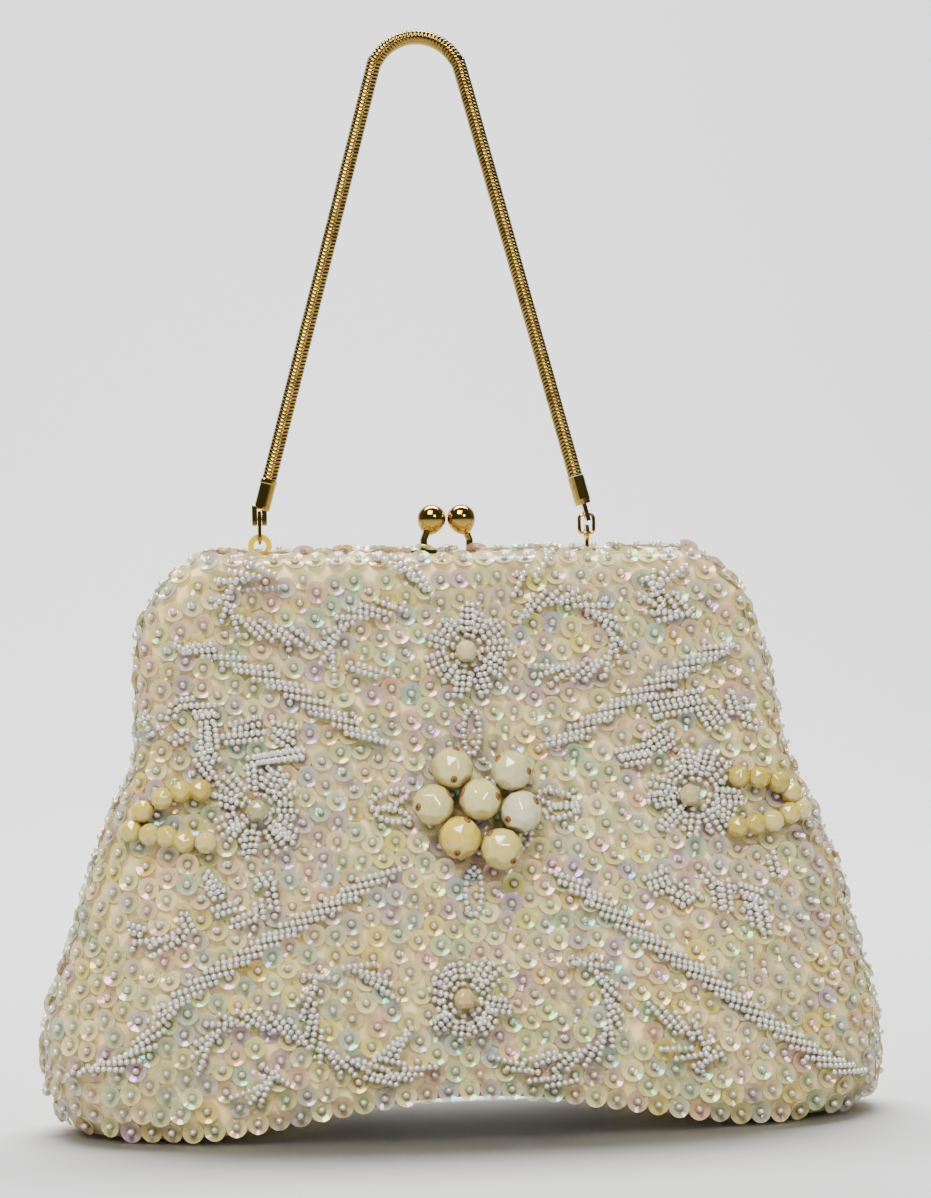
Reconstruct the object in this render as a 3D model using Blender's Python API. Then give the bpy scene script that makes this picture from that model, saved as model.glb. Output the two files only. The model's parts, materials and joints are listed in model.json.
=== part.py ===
"""Beaded evening bag: a covered hinged frame with a two-ball clasp and a snake chain handle."""
import math

import bmesh
import bpy
from mathutils import Matrix, Vector

# Outline of the closed bag as it stands, seen from the front, in metres
BAG_HEIGHT = 0.157
HINGE_DROP = 0.059
BASE_HALF_WIDTH = 0.116
SIDE_FLARE = 0.0265
SHOULDER_TAPER = 0.0045
TOP_CORNER_RADIUS = 0.028
BASE_CORNER_RADIUS = 0.017
ARCH_RISE = 0.009
ARCH_HALF_SPAN = 0.078
SIDE_FLARE_SHARE = 1.55

# Depth of each half of the bag, from the plane where the halves meet
TOP_HALF_DEPTH = 0.0082
HINGE_HALF_DEPTH = 0.012
BASE_HALF_DEPTH = 0.025
SWELL_SHARE = 1.4
CROWN_SHARE = 0.12
END_ROUND_AT_FRAME = 0.006
END_ROUND_AT_BASE = 0.045
TOP_EDGE_RADIUS = 0.005
BOTTOM_EDGE_RADIUS = 0.003

# Cloth layers
CLOTH_THICKNESS = 0.0014
INTERLINING_THICKNESS = 0.0006
LINING_THICKNESS = 0.0005
BASE_PANEL_THICKNESS = 0.0012
STIFFENER_THICKNESS = 0.0015
SEAM_HALF_GAP = 0.00015
LAYER_GAP = 0.0006
BASE_SIDE_GAP = 0.0005
LINING_FRAME_INSET = 0.009
LINING_CUP_DROP = 0.0075
POCKET_HALF_WIDTH = 0.038
POCKET_DROP = 0.043
POCKET_RISE = 0.02

# Hinged frame
FRAME_EDGE_INSET = 0.0032
FRAME_BAR_WIDTH = 0.005
FRAME_INNER_FACE = 0.0028
FRAME_OUTER_FACE = 0.0048
FRAME_WALL = 0.0005
FRAME_ARM_END = 0.0045
KNUCKLE_RADIUS = 0.0036
KNUCKLE_THICKNESS = 0.002
KNUCKLE_GAP = 0.0005
KNUCKLE_INSET = 0.0052
TONGUE_INNER_FACE = 0.0008
TONGUE_OUTER_FACE = 0.0043
TONGUE_OVERLAP = 0.001
PIN_RADIUS = 0.00125
PIN_CLEARANCE = 0.0001
PIN_HEAD_RADIUS = 0.002
PIN_HEAD_THICKNESS = 0.0006
PIN_HEAD_GAP = 0.0003
OPENING_ANGLE = math.radians(50)

# Clasp
CLASP_CENTRE = -0.003
CLASP_BALL_RADIUS = 0.0039
CLASP_BALL_GAP = 0.0003
CLASP_BALL_HEIGHT = 0.0068
CLASP_STEM_RADIUS = 0.001
CLASP_STEM_LEAN = 0.0024
FITTING_INNER_FACE = 0.0015
FITTING_THICKNESS = 0.001
FITTING_DEPTH = 0.009
FITTING_TOP_DROP = 0.0018
CLASP_FOOT_WIDTH = 0.007
SLOT_CLEARANCE = 0.0003

# Handle lugs, rivets and links
LUG_LEFT_INSET = 0.031
LUG_RIGHT_INSET = 0.049
LUG_RING_OUTER_RADIUS = 0.00325
LUG_RING_HOLE_RADIUS = 0.0017
LUG_EYE_OUTER_RADIUS = 0.0023
LUG_EYE_HOLE_RADIUS = 0.0011
LUG_TAB_WIDTH = 0.005
LINK_PIVOT_RISE = 0.0025
RIVET_SHANK_RADIUS = 0.0008
RIVET_HOLE_CLEARANCE = 0.0003
RIVET_HEAD_RADIUS = 0.0016
RIVET_HEAD_THICKNESS = 0.0006
LINK_WIRE_RADIUS = 0.0005
LINK_PITCH = 0.005
LINK_END_RADIUS = 0.0017
LINK_HALF_WIDTH = 0.002
LINK_CORNER_RADIUS = 0.001

# Handle
HANDLE_RISE = 0.1395
HANDLE_ARCH_RADIUS = 0.0127
CHAIN_RADIUS = 0.00205
CHAIN_SPIGOT_RADIUS = 0.0014
CHAIN_STEP = 0.011
CAP_RADIUS = 0.0023
CAP_TIP_RADIUS = 0.0021
CAP_BORE_CLEARANCE = 0.0003
CAP_START = 0.003
CAP_LENGTH = 0.008
CAP_FLOOR = 0.0015
CAP_TAB_THICKNESS = 0.0012
CAP_TAB_HALF_WIDTH = 0.0018
CAP_SLOT_HALF_WIDTH = 0.0013
CAP_BAR_HALF_HEIGHT = 0.0006
CAP_SLOT_HEIGHT = 0.0022
CAP_EYE_RADIUS = 0.0011

# Beadwork on the front
CENTRE_BEAD_RADIUS = 0.0053
FLOWER_BEAD_RADIUS = 0.003
STRAND_BEAD_RADIUS = 0.0028
STRAND_PITCH = 0.0053
STRAND_THREAD_RADIUS = 0.001
BEAD_HOLE_RADIUS = 0.0006
BEAD_SEAT_GAP = 0.0003
ROPE_WIDTH = 0.0046
ROPE_HEIGHT = 0.0016
ROSETTE_RADIUS = 0.0096
ROSETTE_EYE_RADIUS = 0.0036
ROSETTE_PETALS = 8
ROSETTE_PETAL_DEPTH = 0.0009

# Modelling allowances
CUT_OVERRUN = 0.001
GRADIENT_STEP = 0.00005
SEAT_GAP = 0.0003

# Shares along the rows and columns of the cloth
FLAT_SHARES = (0.3, 0.6, 0.85, 1.0)
END_ANGLES = tuple(math.radians(a) for a in (25, 48, 66, 79, 90))
LOWER_ROW_SHARES = (0.0, 0.015, 0.04, 0.08, 0.14, 0.24, 0.42, 0.62, 0.82, 1.0)
UPPER_ROW_SHARES = (0.3, 0.54, 0.7, 0.82)
CUP_ROW_SHARES = (0.0, 0.05, 0.13, 0.28, 0.5, 0.76, 1.0)
FACING_ROW_SHARES = (0.0, 0.35, 0.7, 1.0)
FOLD_ROW_SHARES = (0.0, 0.5, 1.0)
POCKET_ROW_SHARES = (0.0, 0.35, 0.7, 1.0)
POCKET_COLUMN_SHARES = (-1.0, -0.5, 0.0, 0.5, 1.0)
EDGE_ROW_ANGLES = tuple(math.radians(a) for a in (0, 30, 60, 90))

HINGE_HEIGHT = BAG_HEIGHT - HINGE_DROP
HINGE_HALF_WIDTH = BASE_HALF_WIDTH - SIDE_FLARE
SHOULDER_HALF_WIDTH = HINGE_HALF_WIDTH - SHOULDER_TAPER
POCKET_BOTTOM = HINGE_HEIGHT - POCKET_DROP
POCKET_TOP = HINGE_HEIGHT + POCKET_RISE
HANDLE_TOP_HEIGHT = BAG_HEIGHT + HANDLE_RISE
LUG_LEFT_X = LUG_LEFT_INSET - SHOULDER_HALF_WIDTH
LUG_RIGHT_X = SHOULDER_HALF_WIDTH - LUG_RIGHT_INSET
HANDLE_CENTRE = (LUG_LEFT_X + LUG_RIGHT_X) / 2
HANDLE_HALF_SPREAD = (LUG_RIGHT_X - LUG_LEFT_X) / 2
LUG_PLANE = FITTING_INNER_FACE + FITTING_THICKNESS / 2
LINK_PIVOT_HEIGHT = BAG_HEIGHT + LINK_PIVOT_RISE
HANDLE_PIVOT_HEIGHT = LINK_PIVOT_HEIGHT + LINK_PITCH
WEDGE_SLOPE = math.tan(OPENING_ANGLE / 2)
FRAME_CENTRE_INSET = FRAME_EDGE_INSET + FRAME_BAR_WIDTH / 2
BOSS_HEIGHT = BAG_HEIGHT - FRAME_CENTRE_INSET

X_AXIS = Vector((1, 0, 0))
Y_AXIS = Vector((0, 1, 0))
Z_AXIS = Vector((0, 0, 1))


def clear_scene():
    for obj in list(bpy.data.objects):
        bpy.data.objects.remove(obj, do_unlink=True)


def make_material(name, colour, roughness, metallic=0.0):
    made = bpy.data.materials.new(name)
    made.use_nodes = True
    shader = made.node_tree.nodes["Principled BSDF"]
    shader.inputs["Base Color"].default_value = (*colour, 1.0)
    shader.inputs["Roughness"].default_value = roughness
    shader.inputs["Metallic"].default_value = metallic
    return made


def make_empty(name, place, parent=None):
    empty = bpy.data.objects.new(name, None)
    bpy.context.collection.objects.link(empty)
    empty.parent = parent
    empty.location = place - (world_place(parent) if parent else Vector())
    return empty


def world_place(obj):
    place = Vector(obj.location)
    while obj.parent:
        obj = obj.parent
        place += obj.location
    return place


def make_object(name, verts, faces, material, parent, smooth=True):
    """A solid given in world coordinates, whose origin goes to its parent's place."""
    shift = world_place(parent)
    mesh = bpy.data.meshes.new(name)
    mesh.from_pydata([tuple(Vector(v) - shift) for v in verts], [], faces)
    work = bmesh.new()
    work.from_mesh(mesh)
    bmesh.ops.recalc_face_normals(work, faces=work.faces)
    work.to_mesh(mesh)
    work.free()
    if smooth:
        mesh.shade_smooth()
        mesh.set_sharp_from_angle(angle=math.radians(35))
    mesh.materials.append(material)
    obj = bpy.data.objects.new(name, mesh)
    bpy.context.collection.objects.link(obj)
    obj.parent = parent
    return obj


def loft(rings, closed=False):
    """Vertices and faces of a tube through rings, capped at its ends or closed on itself."""
    count = len(rings[0])
    verts = [v for ring in rings for v in ring]
    faces = []
    last = len(rings) if closed else len(rings) - 1
    for r in range(last):
        a, b = r * count, (r + 1) % len(rings) * count
        for k in range(count):
            n = (k + 1) % count
            faces.append((a + k, a + n, b + n, b + k))
    if not closed:
        faces.append(tuple(reversed(range(count))))
        faces.append(tuple(range(len(verts) - count, len(verts))))
    return verts, faces


def ring(centre, axis, side, radius, count):
    """A ring of points round an axis, the first of them towards side."""
    up = axis.cross(side)
    turns = [math.tau * k / count for k in range(count)]
    return [centre + (side * math.cos(t) + up * math.sin(t)) * radius for t in turns]


def turned(profile, axis, side, origin, count):
    """Rings of a turned piece from (distance along the axis, radius) pairs."""
    return [ring(origin + axis * along, axis, side, radius, count) for along, radius in profile]


def guide_box(name, low, high, parent):
    corners = [(x, y, z) for x in (low[0], high[0]) for y in (low[1], high[1])
               for z in (low[2], high[2])]
    faces = [(0, 1, 3, 2), (4, 6, 7, 5), (0, 4, 5, 1), (2, 3, 7, 6), (0, 2, 6, 4), (1, 5, 7, 3)]
    return hide(make_object(name, corners, faces, GUIDE, parent, smooth=False))


def guide_turned(name, profile, axis, side, origin, count, parent):
    verts, faces = loft(turned(profile, axis, side, origin, count))
    return hide(make_object(name, verts, faces, GUIDE, parent))


def hide(obj):
    obj.hide_render = True
    obj.display_type = "WIRE"
    return obj


def combine(obj, other, operation):
    modifier = obj.modifiers.new(other.name, "BOOLEAN")
    modifier.operation = operation
    modifier.solver = "EXACT"
    modifier.object = other


# The outer skin of the bag as one surface

def fillet_drop(into, radius):
    into = min(max(into, 0.0), radius)
    return radius - math.sqrt(radius ** 2 - into ** 2)


def base_rise(x):
    """Height of the bottom edge, which arches up between the two ends that the bag stands on."""
    reach = min(1.0, abs(x) / ARCH_HALF_SPAN)
    return ARCH_RISE * (1 - reach ** 2) ** 2


def half_width(z):
    shoulder = BAG_HEIGHT - TOP_CORNER_RADIUS
    if z > shoulder:
        return SHOULDER_HALF_WIDTH - fillet_drop(z - shoulder, TOP_CORNER_RADIUS)
    if z >= HINGE_HEIGHT:
        share = (z - HINGE_HEIGHT) / (shoulder - HINGE_HEIGHT)
        return HINGE_HALF_WIDTH + (SHOULDER_HALF_WIDTH - HINGE_HALF_WIDTH) * share
    share = min(1.0, (HINGE_HEIGHT - z) / (HINGE_HEIGHT - BASE_CORNER_RADIUS))
    flare = 1 - (1 - share) ** SIDE_FLARE_SHARE
    wide = HINGE_HALF_WIDTH + (BASE_HALF_WIDTH - HINGE_HALF_WIDTH) * flare
    return wide - fillet_drop(BASE_CORNER_RADIUS - z, BASE_CORNER_RADIUS)


def swell(z):
    """0 at the hinge and above, 1 at the floor."""
    share = min(1.0, max(0.0, (HINGE_HEIGHT - z) / HINGE_HEIGHT))
    return 1 - (1 - share) ** SWELL_SHARE


def end_round(z):
    return END_ROUND_AT_FRAME + (END_ROUND_AT_BASE - END_ROUND_AT_FRAME) * swell(z)


def half_depth(x, z):
    """Depth of one half at a place in the front view, before its ends turn in to the seam."""
    above = max(0.0, (z - HINGE_HEIGHT) / (BAG_HEIGHT - HINGE_HEIGHT))
    depth = HINGE_HALF_DEPTH + (TOP_HALF_DEPTH - HINGE_HALF_DEPTH) * above
    depth += (BASE_HALF_DEPTH - HINGE_HALF_DEPTH) * swell(z)
    depth -= fillet_drop(z - (BAG_HEIGHT - TOP_EDGE_RADIUS), TOP_EDGE_RADIUS)
    depth -= fillet_drop(base_rise(x) + BOTTOM_EDGE_RADIUS - z, BOTTOM_EDGE_RADIUS)
    return depth * (1 + CROWN_SHARE * (1 - (x / half_width(z)) ** 2))


def end_reach(x, z):
    return max(0.0, abs(x) - half_width(z) + end_round(z)) / end_round(z)


def skin_depth(x, z):
    """Distance of the skin from the meeting plane."""
    return half_depth(x, z) * math.sqrt(max(0.0, 1 - end_reach(x, z) ** 2))


def skin_value(x, y, z):
    return end_reach(x, z) ** 2 + (y / half_depth(x, z)) ** 2


def skin_normal(x, y, z):
    h = GRADIENT_STEP
    low, high = max(z - h, 0.0), min(z + h, BAG_HEIGHT)
    across = (skin_value(x + h, y, z) - skin_value(x - h, y, z)) / (2 * h)
    through = (skin_value(x, y + h, z) - skin_value(x, y - h, z)) / (2 * h)
    upward = (skin_value(x, y, high) - skin_value(x, y, low)) / (high - low)
    return Vector((across, through, upward)).normalized()


def front_place(x, z, proud=0.0):
    """A point of the front skin in world coordinates, moved out along its normal."""
    point = Vector((x, -skin_depth(x, z), z))
    return point + skin_normal(*point) * proud


# Cloth panels

def cloth_columns(skip_last=False):
    """Columns of a panel from its left seam to its right one, as (flat share, end angle)."""
    half = [(share, 0.0) for share in FLAT_SHARES] + [(1.0, angle) for angle in END_ANGLES]
    if skip_last:
        half = half[:-1]
    right = [(1, *column) for column in half]
    left = [(-1, *column) for column in reversed(half)]
    return left + [(1, 0.0, 0.0)] + right


def column_x(column, z, inset=0.0):
    side, flat, angle = column
    end = end_round(z)
    x = flat * (half_width(z) - end) + end * math.sin(angle)
    return side * x * (1 - inset / half_width(z))


def settle(column, height_at, inset_at, start):
    """The height at which a column meets an edge that is given by its place."""
    z = start
    for _ in range(40):
        x = column_x(column, z, inset_at(z))
        z = (z + height_at(x, skin_depth(x, z))) / 2
    return z


def no_inset(z):
    return 0.0


def facing_inset(z):
    """How far a facing's side edges stand in from the outline, to pass inside the frame's arms."""
    return LINING_FRAME_INSET


def panel(name, side, rows, outer, inner, inset_at, material, parent, lid=False,
          skip_last=False):
    """A curved sheet between two offsets of the skin, on the front (side -1) or back (+1)."""
    columns = cloth_columns(skip_last)
    outside, inside = [], []
    for row in rows:
        for column in columns:
            z = row(column)
            x = column_x(column, z, inset_at(z))
            y = side * max(skin_depth(x, z), SEAM_HALF_GAP)
            normal = skin_normal(x, y, z)
            point = Vector((x, y, z))
            for found, offset in ((outside, outer), (inside, inner)):
                place = point - normal * offset
                place.y = side * max(side * place.y, SEAM_HALF_GAP)
                found.append(place)
    if lid:
        for column in columns:
            x = column_x(column, BAG_HEIGHT)
            outside.append(Vector((x, side * SEAM_HALF_GAP, BAG_HEIGHT - outer)))
            inside.append(Vector((x, side * SEAM_HALF_GAP, BAG_HEIGHT - inner)))
    wide = len(columns)
    tall = len(outside) // wide
    base = len(outside)
    faces = []
    for r in range(tall - 1):
        for c in range(wide - 1):
            a = r * wide + c
            quad = (a, a + 1, a + wide + 1, a + wide)
            faces.append(quad)
            faces.append(tuple(base + v for v in reversed(quad)))
    bottom = list(range(wide))
    right = [r * wide + wide - 1 for r in range(1, tall)]
    top = [(tall - 1) * wide + c for c in range(wide - 2, -1, -1)]
    left = [r * wide for r in range(tall - 2, 0, -1)]
    rim = bottom + right + top + left
    for k, v in enumerate(rim):
        n = rim[(k + 1) % len(rim)]
        faces.append((n, v, base + v, base + n))
    return make_object(name, outside + inside, faces, material, parent)


def cup(name, rows, outer, inner, material, parent):
    """A sheet that runs all the way round inside the bag, between two offsets of the skin."""
    front = [(column, -1) for column in cloth_columns()]
    back = [(column, 1) for column in reversed(cloth_columns()[1:-1])]
    outside, inside = [], []
    for row in rows:
        rings = ([], [])
        for column, side in front + back:
            z = row(column)
            x = column_x(column, z)
            point = Vector((x, side * skin_depth(x, z), z))
            normal = skin_normal(*point)
            rings[0].append(point - normal * outer)
            rings[1].append(point - normal * inner)
        outside.append(rings[0])
        inside.append(rings[1])
    verts, faces = loft(outside + inside[::-1], closed=True)
    return make_object(name, verts, faces, material, parent)


def bottom_edge(lift):
    def height(column):
        return settle(column, lambda x, y: base_rise(x) + lift, no_inset, lift)
    return height


def wedge_edge(direction, gap, inset_at=no_inset):
    """An edge of the back cloth on the plane through the hinge axis that lets the back tip open."""
    def height(column):
        return settle(column, lambda x, y: HINGE_HEIGHT + direction * (WEDGE_SLOPE * y + gap),
                      inset_at, HINGE_HEIGHT)
    return height


def level(height):
    return lambda column: height


def rows_between(low, high, shares):
    def row(share):
        return lambda column: low(column) + share * (high(column) - low(column))
    return [row(share) for share in shares]


def top_rows():
    start = BAG_HEIGHT - TOP_EDGE_RADIUS
    return [level(start + TOP_EDGE_RADIUS * math.sin(a)) for a in EDGE_ROW_ANGLES]


def make_cloth(bag, rear):
    hinge = level(HINGE_HEIGHT)
    top = level(BAG_HEIGHT)
    layer_1 = CLOTH_THICKNESS + LAYER_GAP
    layer_2 = layer_1 + INTERLINING_THICKNESS + LAYER_GAP
    lining_low = BASE_PANEL_THICKNESS + STIFFENER_THICKNESS + 2 * LAYER_GAP
    lining_top = level(BAG_HEIGHT - LINING_FRAME_INSET)
    upper = UPPER_ROW_SHARES
    lower = LOWER_ROW_SHARES

    floor = bottom_edge(0.0)
    rows = rows_between(floor, hinge, lower) + rows_between(hinge, top, upper) + top_rows()
    front = panel("front_panel", -1, rows, 0.0, CLOTH_THICKNESS, no_inset, BEADED, bag, lid=True)

    rows = rows_between(floor, wedge_edge(-1, LAYER_GAP), lower)
    panel("back_panel_lower", 1, rows, 0.0, CLOTH_THICKNESS, no_inset, BEADED, bag)

    rows = rows_between(wedge_edge(-1, 0.0), wedge_edge(1, 0.0), FOLD_ROW_SHARES)
    panel("back_panel_fold", 1, rows, 0.0, CLOTH_THICKNESS, no_inset, BEADED, bag, skip_last=True)

    rows = rows_between(wedge_edge(1, LAYER_GAP), top, (0.0,) + upper) + top_rows()
    back = panel("back_panel_upper", 1, rows, 0.0, CLOTH_THICKNESS, no_inset, BEADED, rear,
                 lid=True)

    layers = (("interlining", layer_1, layer_1 + INTERLINING_THICKNESS, WADDING),
              ("lining", layer_2, layer_2 + LINING_THICKNESS, SATIN))
    for name, outer, inner, material in layers:
        low, high = bottom_edge(lining_low), HINGE_HEIGHT - LINING_CUP_DROP
        rows = rows_between(low, level(high), CUP_ROW_SHARES)
        cup(f"{name}_cup", rows, outer, inner, material, bag)
        rows = [level(high + LAYER_GAP)] + rows_between(hinge, lining_top, FACING_ROW_SHARES)
        panel(f"front_{name}_facing", -1, rows, outer, inner, facing_inset, material, bag)
        edge = wedge_edge(1, LAYER_GAP, facing_inset)
        rows = rows_between(edge, lining_top, FACING_ROW_SHARES)
        panel(f"back_{name}_facing", 1, rows, outer, inner, facing_inset, material, rear)

    low = BASE_PANEL_THICKNESS + LAYER_GAP
    base_sheet("base_panel", 0.0, BASE_PANEL_THICKNESS, BASE_SIDE_GAP, BEADED, bag)
    base_sheet("base_stiffener", low, low + STIFFENER_THICKNESS, 2 * BASE_SIDE_GAP, BOARD, bag)
    base_sheet("base_lining", lining_low, lining_low + LINING_THICKNESS, 2 * BASE_SIDE_GAP,
               SATIN, bag)
    make_pocket(bag, layer_2 + LINING_THICKNESS + LAYER_GAP)
    return front, back


def base_sheet(name, low, high, side_gap, material, parent):
    """A sheet that spans the bottom inside the panels and follows their arch."""
    rings = []
    floor = bottom_edge(0.0)
    for column in cloth_columns():
        z = floor(column)
        x = column_x(column, z)
        y = max(skin_depth(x, z) - side_gap, 2 * BASE_SIDE_GAP)
        x -= math.copysign(side_gap, x) if column[2] else 0.0
        lift = base_rise(x)
        rings.append([Vector((x, -y, lift + low)), Vector((x, y, lift + low)),
                      Vector((x, y, lift + high)), Vector((x, -y, lift + high))])
    verts, faces = loft(rings)
    return make_object(name, verts, faces, material, parent)


def make_pocket(bag, offset):
    """A flat pocket sewn to the front lining."""
    rings = []
    for share in POCKET_COLUMN_SHARES:
        x = share * POCKET_HALF_WIDTH
        outer = [front_place(x, z, -offset) for z in pocket_heights()]
        inner = [front_place(x, z, -offset - LINING_THICKNESS) for z in pocket_heights()]
        rings.append(outer + inner[::-1])
    verts, faces = loft(rings)
    return make_object("inner_pocket", verts, faces, SATIN, bag)


def pocket_heights():
    return [POCKET_BOTTOM + (POCKET_TOP - POCKET_BOTTOM) * share for share in POCKET_ROW_SHARES]


# Hinged frame

def frame_route():
    """Centre line of a frame bar in the front view, as (x, z, outward direction)."""
    half = []
    low = HINGE_HEIGHT + FRAME_ARM_END
    shoulder = BAG_HEIGHT - TOP_CORNER_RADIUS
    for share in (0.0, 0.5):
        z = low + (shoulder - low) * share
        half.append((half_width(z) - FRAME_CENTRE_INSET, z, X_AXIS))
    centre = SHOULDER_HALF_WIDTH - TOP_CORNER_RADIUS
    radius = TOP_CORNER_RADIUS - FRAME_CENTRE_INSET
    for degrees in (0, 18, 36, 54, 72, 90):
        angle = math.radians(degrees)
        out = Vector((math.cos(angle), 0, math.sin(angle)))
        half.append((centre + radius * out.x, shoulder + radius * out.z, out))
    mirrored = [(-x, z, Vector((-out.x, 0, out.z))) for x, z, out in half]
    return mirrored + half[::-1]


def frame_half(name, side, knuckle_x, parent):
    """An inverted U of channel section with a tongue and knuckle at each end."""
    inner, outer = side * FRAME_INNER_FACE, side * FRAME_OUTER_FACE
    wall = side * FRAME_WALL
    half = FRAME_BAR_WIDTH / 2
    web = half - FRAME_WALL
    section = ((half, inner), (half, outer), (-half, outer), (-half, outer - wall),
               (web, outer - wall), (web, inner + wall), (-half, inner + wall), (-half, inner))
    rings = [[Vector((x, y, z)) + out * step for step, y in section]
             for x, z, out in frame_route()]
    verts, faces = loft(rings)
    frame = make_object(name, verts, faces, FRAME_METAL, parent)
    for end, direction in (("left", -1), ("right", 1)):
        low_x, high_x = sorted((direction * knuckle_x, direction * (knuckle_x + KNUCKLE_THICKNESS)))
        near, far = sorted((side * TONGUE_INNER_FACE, side * TONGUE_OUTER_FACE))
        top = HINGE_HEIGHT + FRAME_ARM_END + TONGUE_OVERLAP
        tongue = guide_box(f"{name}_tongue_{end}", (low_x, near, HINGE_HEIGHT),
                           (high_x, far, top), parent)
        combine(frame, tongue, "UNION")
        origin = Vector((low_x, 0, HINGE_HEIGHT))
        knuckle = guide_turned(f"{name}_knuckle_{end}",
                               ((0, KNUCKLE_RADIUS), (KNUCKLE_THICKNESS, KNUCKLE_RADIUS)),
                               X_AXIS, Y_AXIS, origin, 24, parent)
        combine(frame, knuckle, "UNION")
        reach = KNUCKLE_THICKNESS + CUT_OVERRUN
        hole_radius = (PIN_RADIUS + PIN_CLEARANCE) / math.cos(math.pi / 24)
        hole = guide_turned(f"{name}_pin_hole_{end}", ((-CUT_OVERRUN, hole_radius),
                                                       (reach, hole_radius)),
                            X_AXIS, Y_AXIS, origin, 24, parent)
        combine(frame, hole, "DIFFERENCE")
    return frame


def make_frame(bag, rear):
    outer_x = HINGE_HALF_WIDTH - KNUCKLE_INSET
    inner_x = outer_x - KNUCKLE_GAP - KNUCKLE_THICKNESS
    front = frame_half("front_frame", -1, outer_x, bag)
    back = frame_half("rear_frame", 1, inner_x, rear)
    for end, direction in (("left", -1), ("right", 1)):
        start = inner_x - PIN_HEAD_GAP - PIN_HEAD_THICKNESS
        length = 2 * KNUCKLE_THICKNESS + KNUCKLE_GAP + 2 * PIN_HEAD_GAP
        far = PIN_HEAD_THICKNESS + length
        profile = ((0, PIN_HEAD_RADIUS), (PIN_HEAD_THICKNESS, PIN_HEAD_RADIUS),
                   (PIN_HEAD_THICKNESS, PIN_RADIUS), (far, PIN_RADIUS), (far, PIN_HEAD_RADIUS),
                   (far + PIN_HEAD_THICKNESS, PIN_HEAD_RADIUS))
        origin = Vector((direction * start, 0, HINGE_HEIGHT))
        verts, faces = loft(turned(profile, X_AXIS * direction, Y_AXIS, origin, 16))
        make_object(f"hinge_pin_{end}", verts, faces, FRAME_METAL, bag)
    return front, back


# Clasp

def make_clasp_half(name, side, foot_x, ball_x, skin, parent):
    """A foot soldered to the frame, a stem through the cloth and a polished ball on top."""
    near, far = sorted((side * FITTING_INNER_FACE,
                        side * (FITTING_INNER_FACE + FITTING_THICKNESS)))
    middle = (near + far) / 2
    ball = Vector((ball_x, 0, BAG_HEIGHT + CLASP_BALL_HEIGHT))
    foot_top = BAG_HEIGHT - FITTING_TOP_DROP
    route = [Vector((foot_x, middle, BAG_HEIGHT - FRAME_EDGE_INSET + SEAT_GAP)),
             Vector((foot_x, middle, BAG_HEIGHT + CLASP_STEM_RADIUS))]
    towards = (ball - route[-1]).normalized()
    route.append(ball - towards * (CLASP_BALL_RADIUS + SEAT_GAP))
    rings = []
    for k, point in enumerate(route):
        ahead = route[min(k + 1, len(route) - 1)] - route[max(k - 1, 0)]
        axis = ahead.normalized() if k < len(route) - 1 else towards
        across = axis.cross(Y_AXIS).normalized()
        rings.append(ring(point, axis, across, CLASP_STEM_RADIUS, 10))
    verts, faces = loft(rings)
    stem = make_object(f"{name}_clasp_stem", verts, faces, GOLD, parent)
    foot = guide_box(f"{name}_clasp_foot",
                     (foot_x - CLASP_FOOT_WIDTH / 2, near, foot_top - FITTING_DEPTH),
                     (foot_x + CLASP_FOOT_WIDTH / 2, far, foot_top), parent)
    combine(stem, foot, "UNION")
    radius = CLASP_STEM_RADIUS + SLOT_CLEARANCE
    hole = guide_turned(f"{name}_stem_hole", ((0, radius), (TOP_EDGE_RADIUS, radius)), Z_AXIS,
                        X_AXIS, Vector((foot_x, middle, BAG_HEIGHT - TOP_EDGE_RADIUS / 2)), 12,
                        parent)
    combine(skin, hole, "DIFFERENCE")
    steps = [math.pi * k / 8 for k in range(9)]
    profile = [(-CLASP_BALL_RADIUS * math.cos(a), CLASP_BALL_RADIUS * math.sin(a))
               for a in steps[1:-1]]
    verts, faces = loft(turned(profile, Z_AXIS, X_AXIS, ball, 16))
    make_object(f"{name}_clasp_ball", verts, faces, GOLD, parent)


def make_clasp(front_skin, back_skin, bag, rear):
    apart = CLASP_BALL_RADIUS + CLASP_BALL_GAP / 2
    front_ball, rear_ball = CLASP_CENTRE - apart, CLASP_CENTRE + apart
    make_clasp_half("front", -1, front_ball - CLASP_STEM_LEAN, front_ball, front_skin, bag)
    make_clasp_half("rear", 1, rear_ball + CLASP_STEM_LEAN, rear_ball, back_skin, rear)


# Handle fittings

def plate_with_hole(name, centre, axis, outer, hole, thickness, material, parent):
    """A flat ring plate, square to its axis."""
    side = Z_AXIS
    half = thickness / 2
    profile = ((-half, outer), (half, outer), (half, hole), (-half, hole))
    verts, faces = loft(turned(profile, axis, side, centre, 28), closed=True)
    return make_object(name, verts, faces, material, parent)


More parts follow.
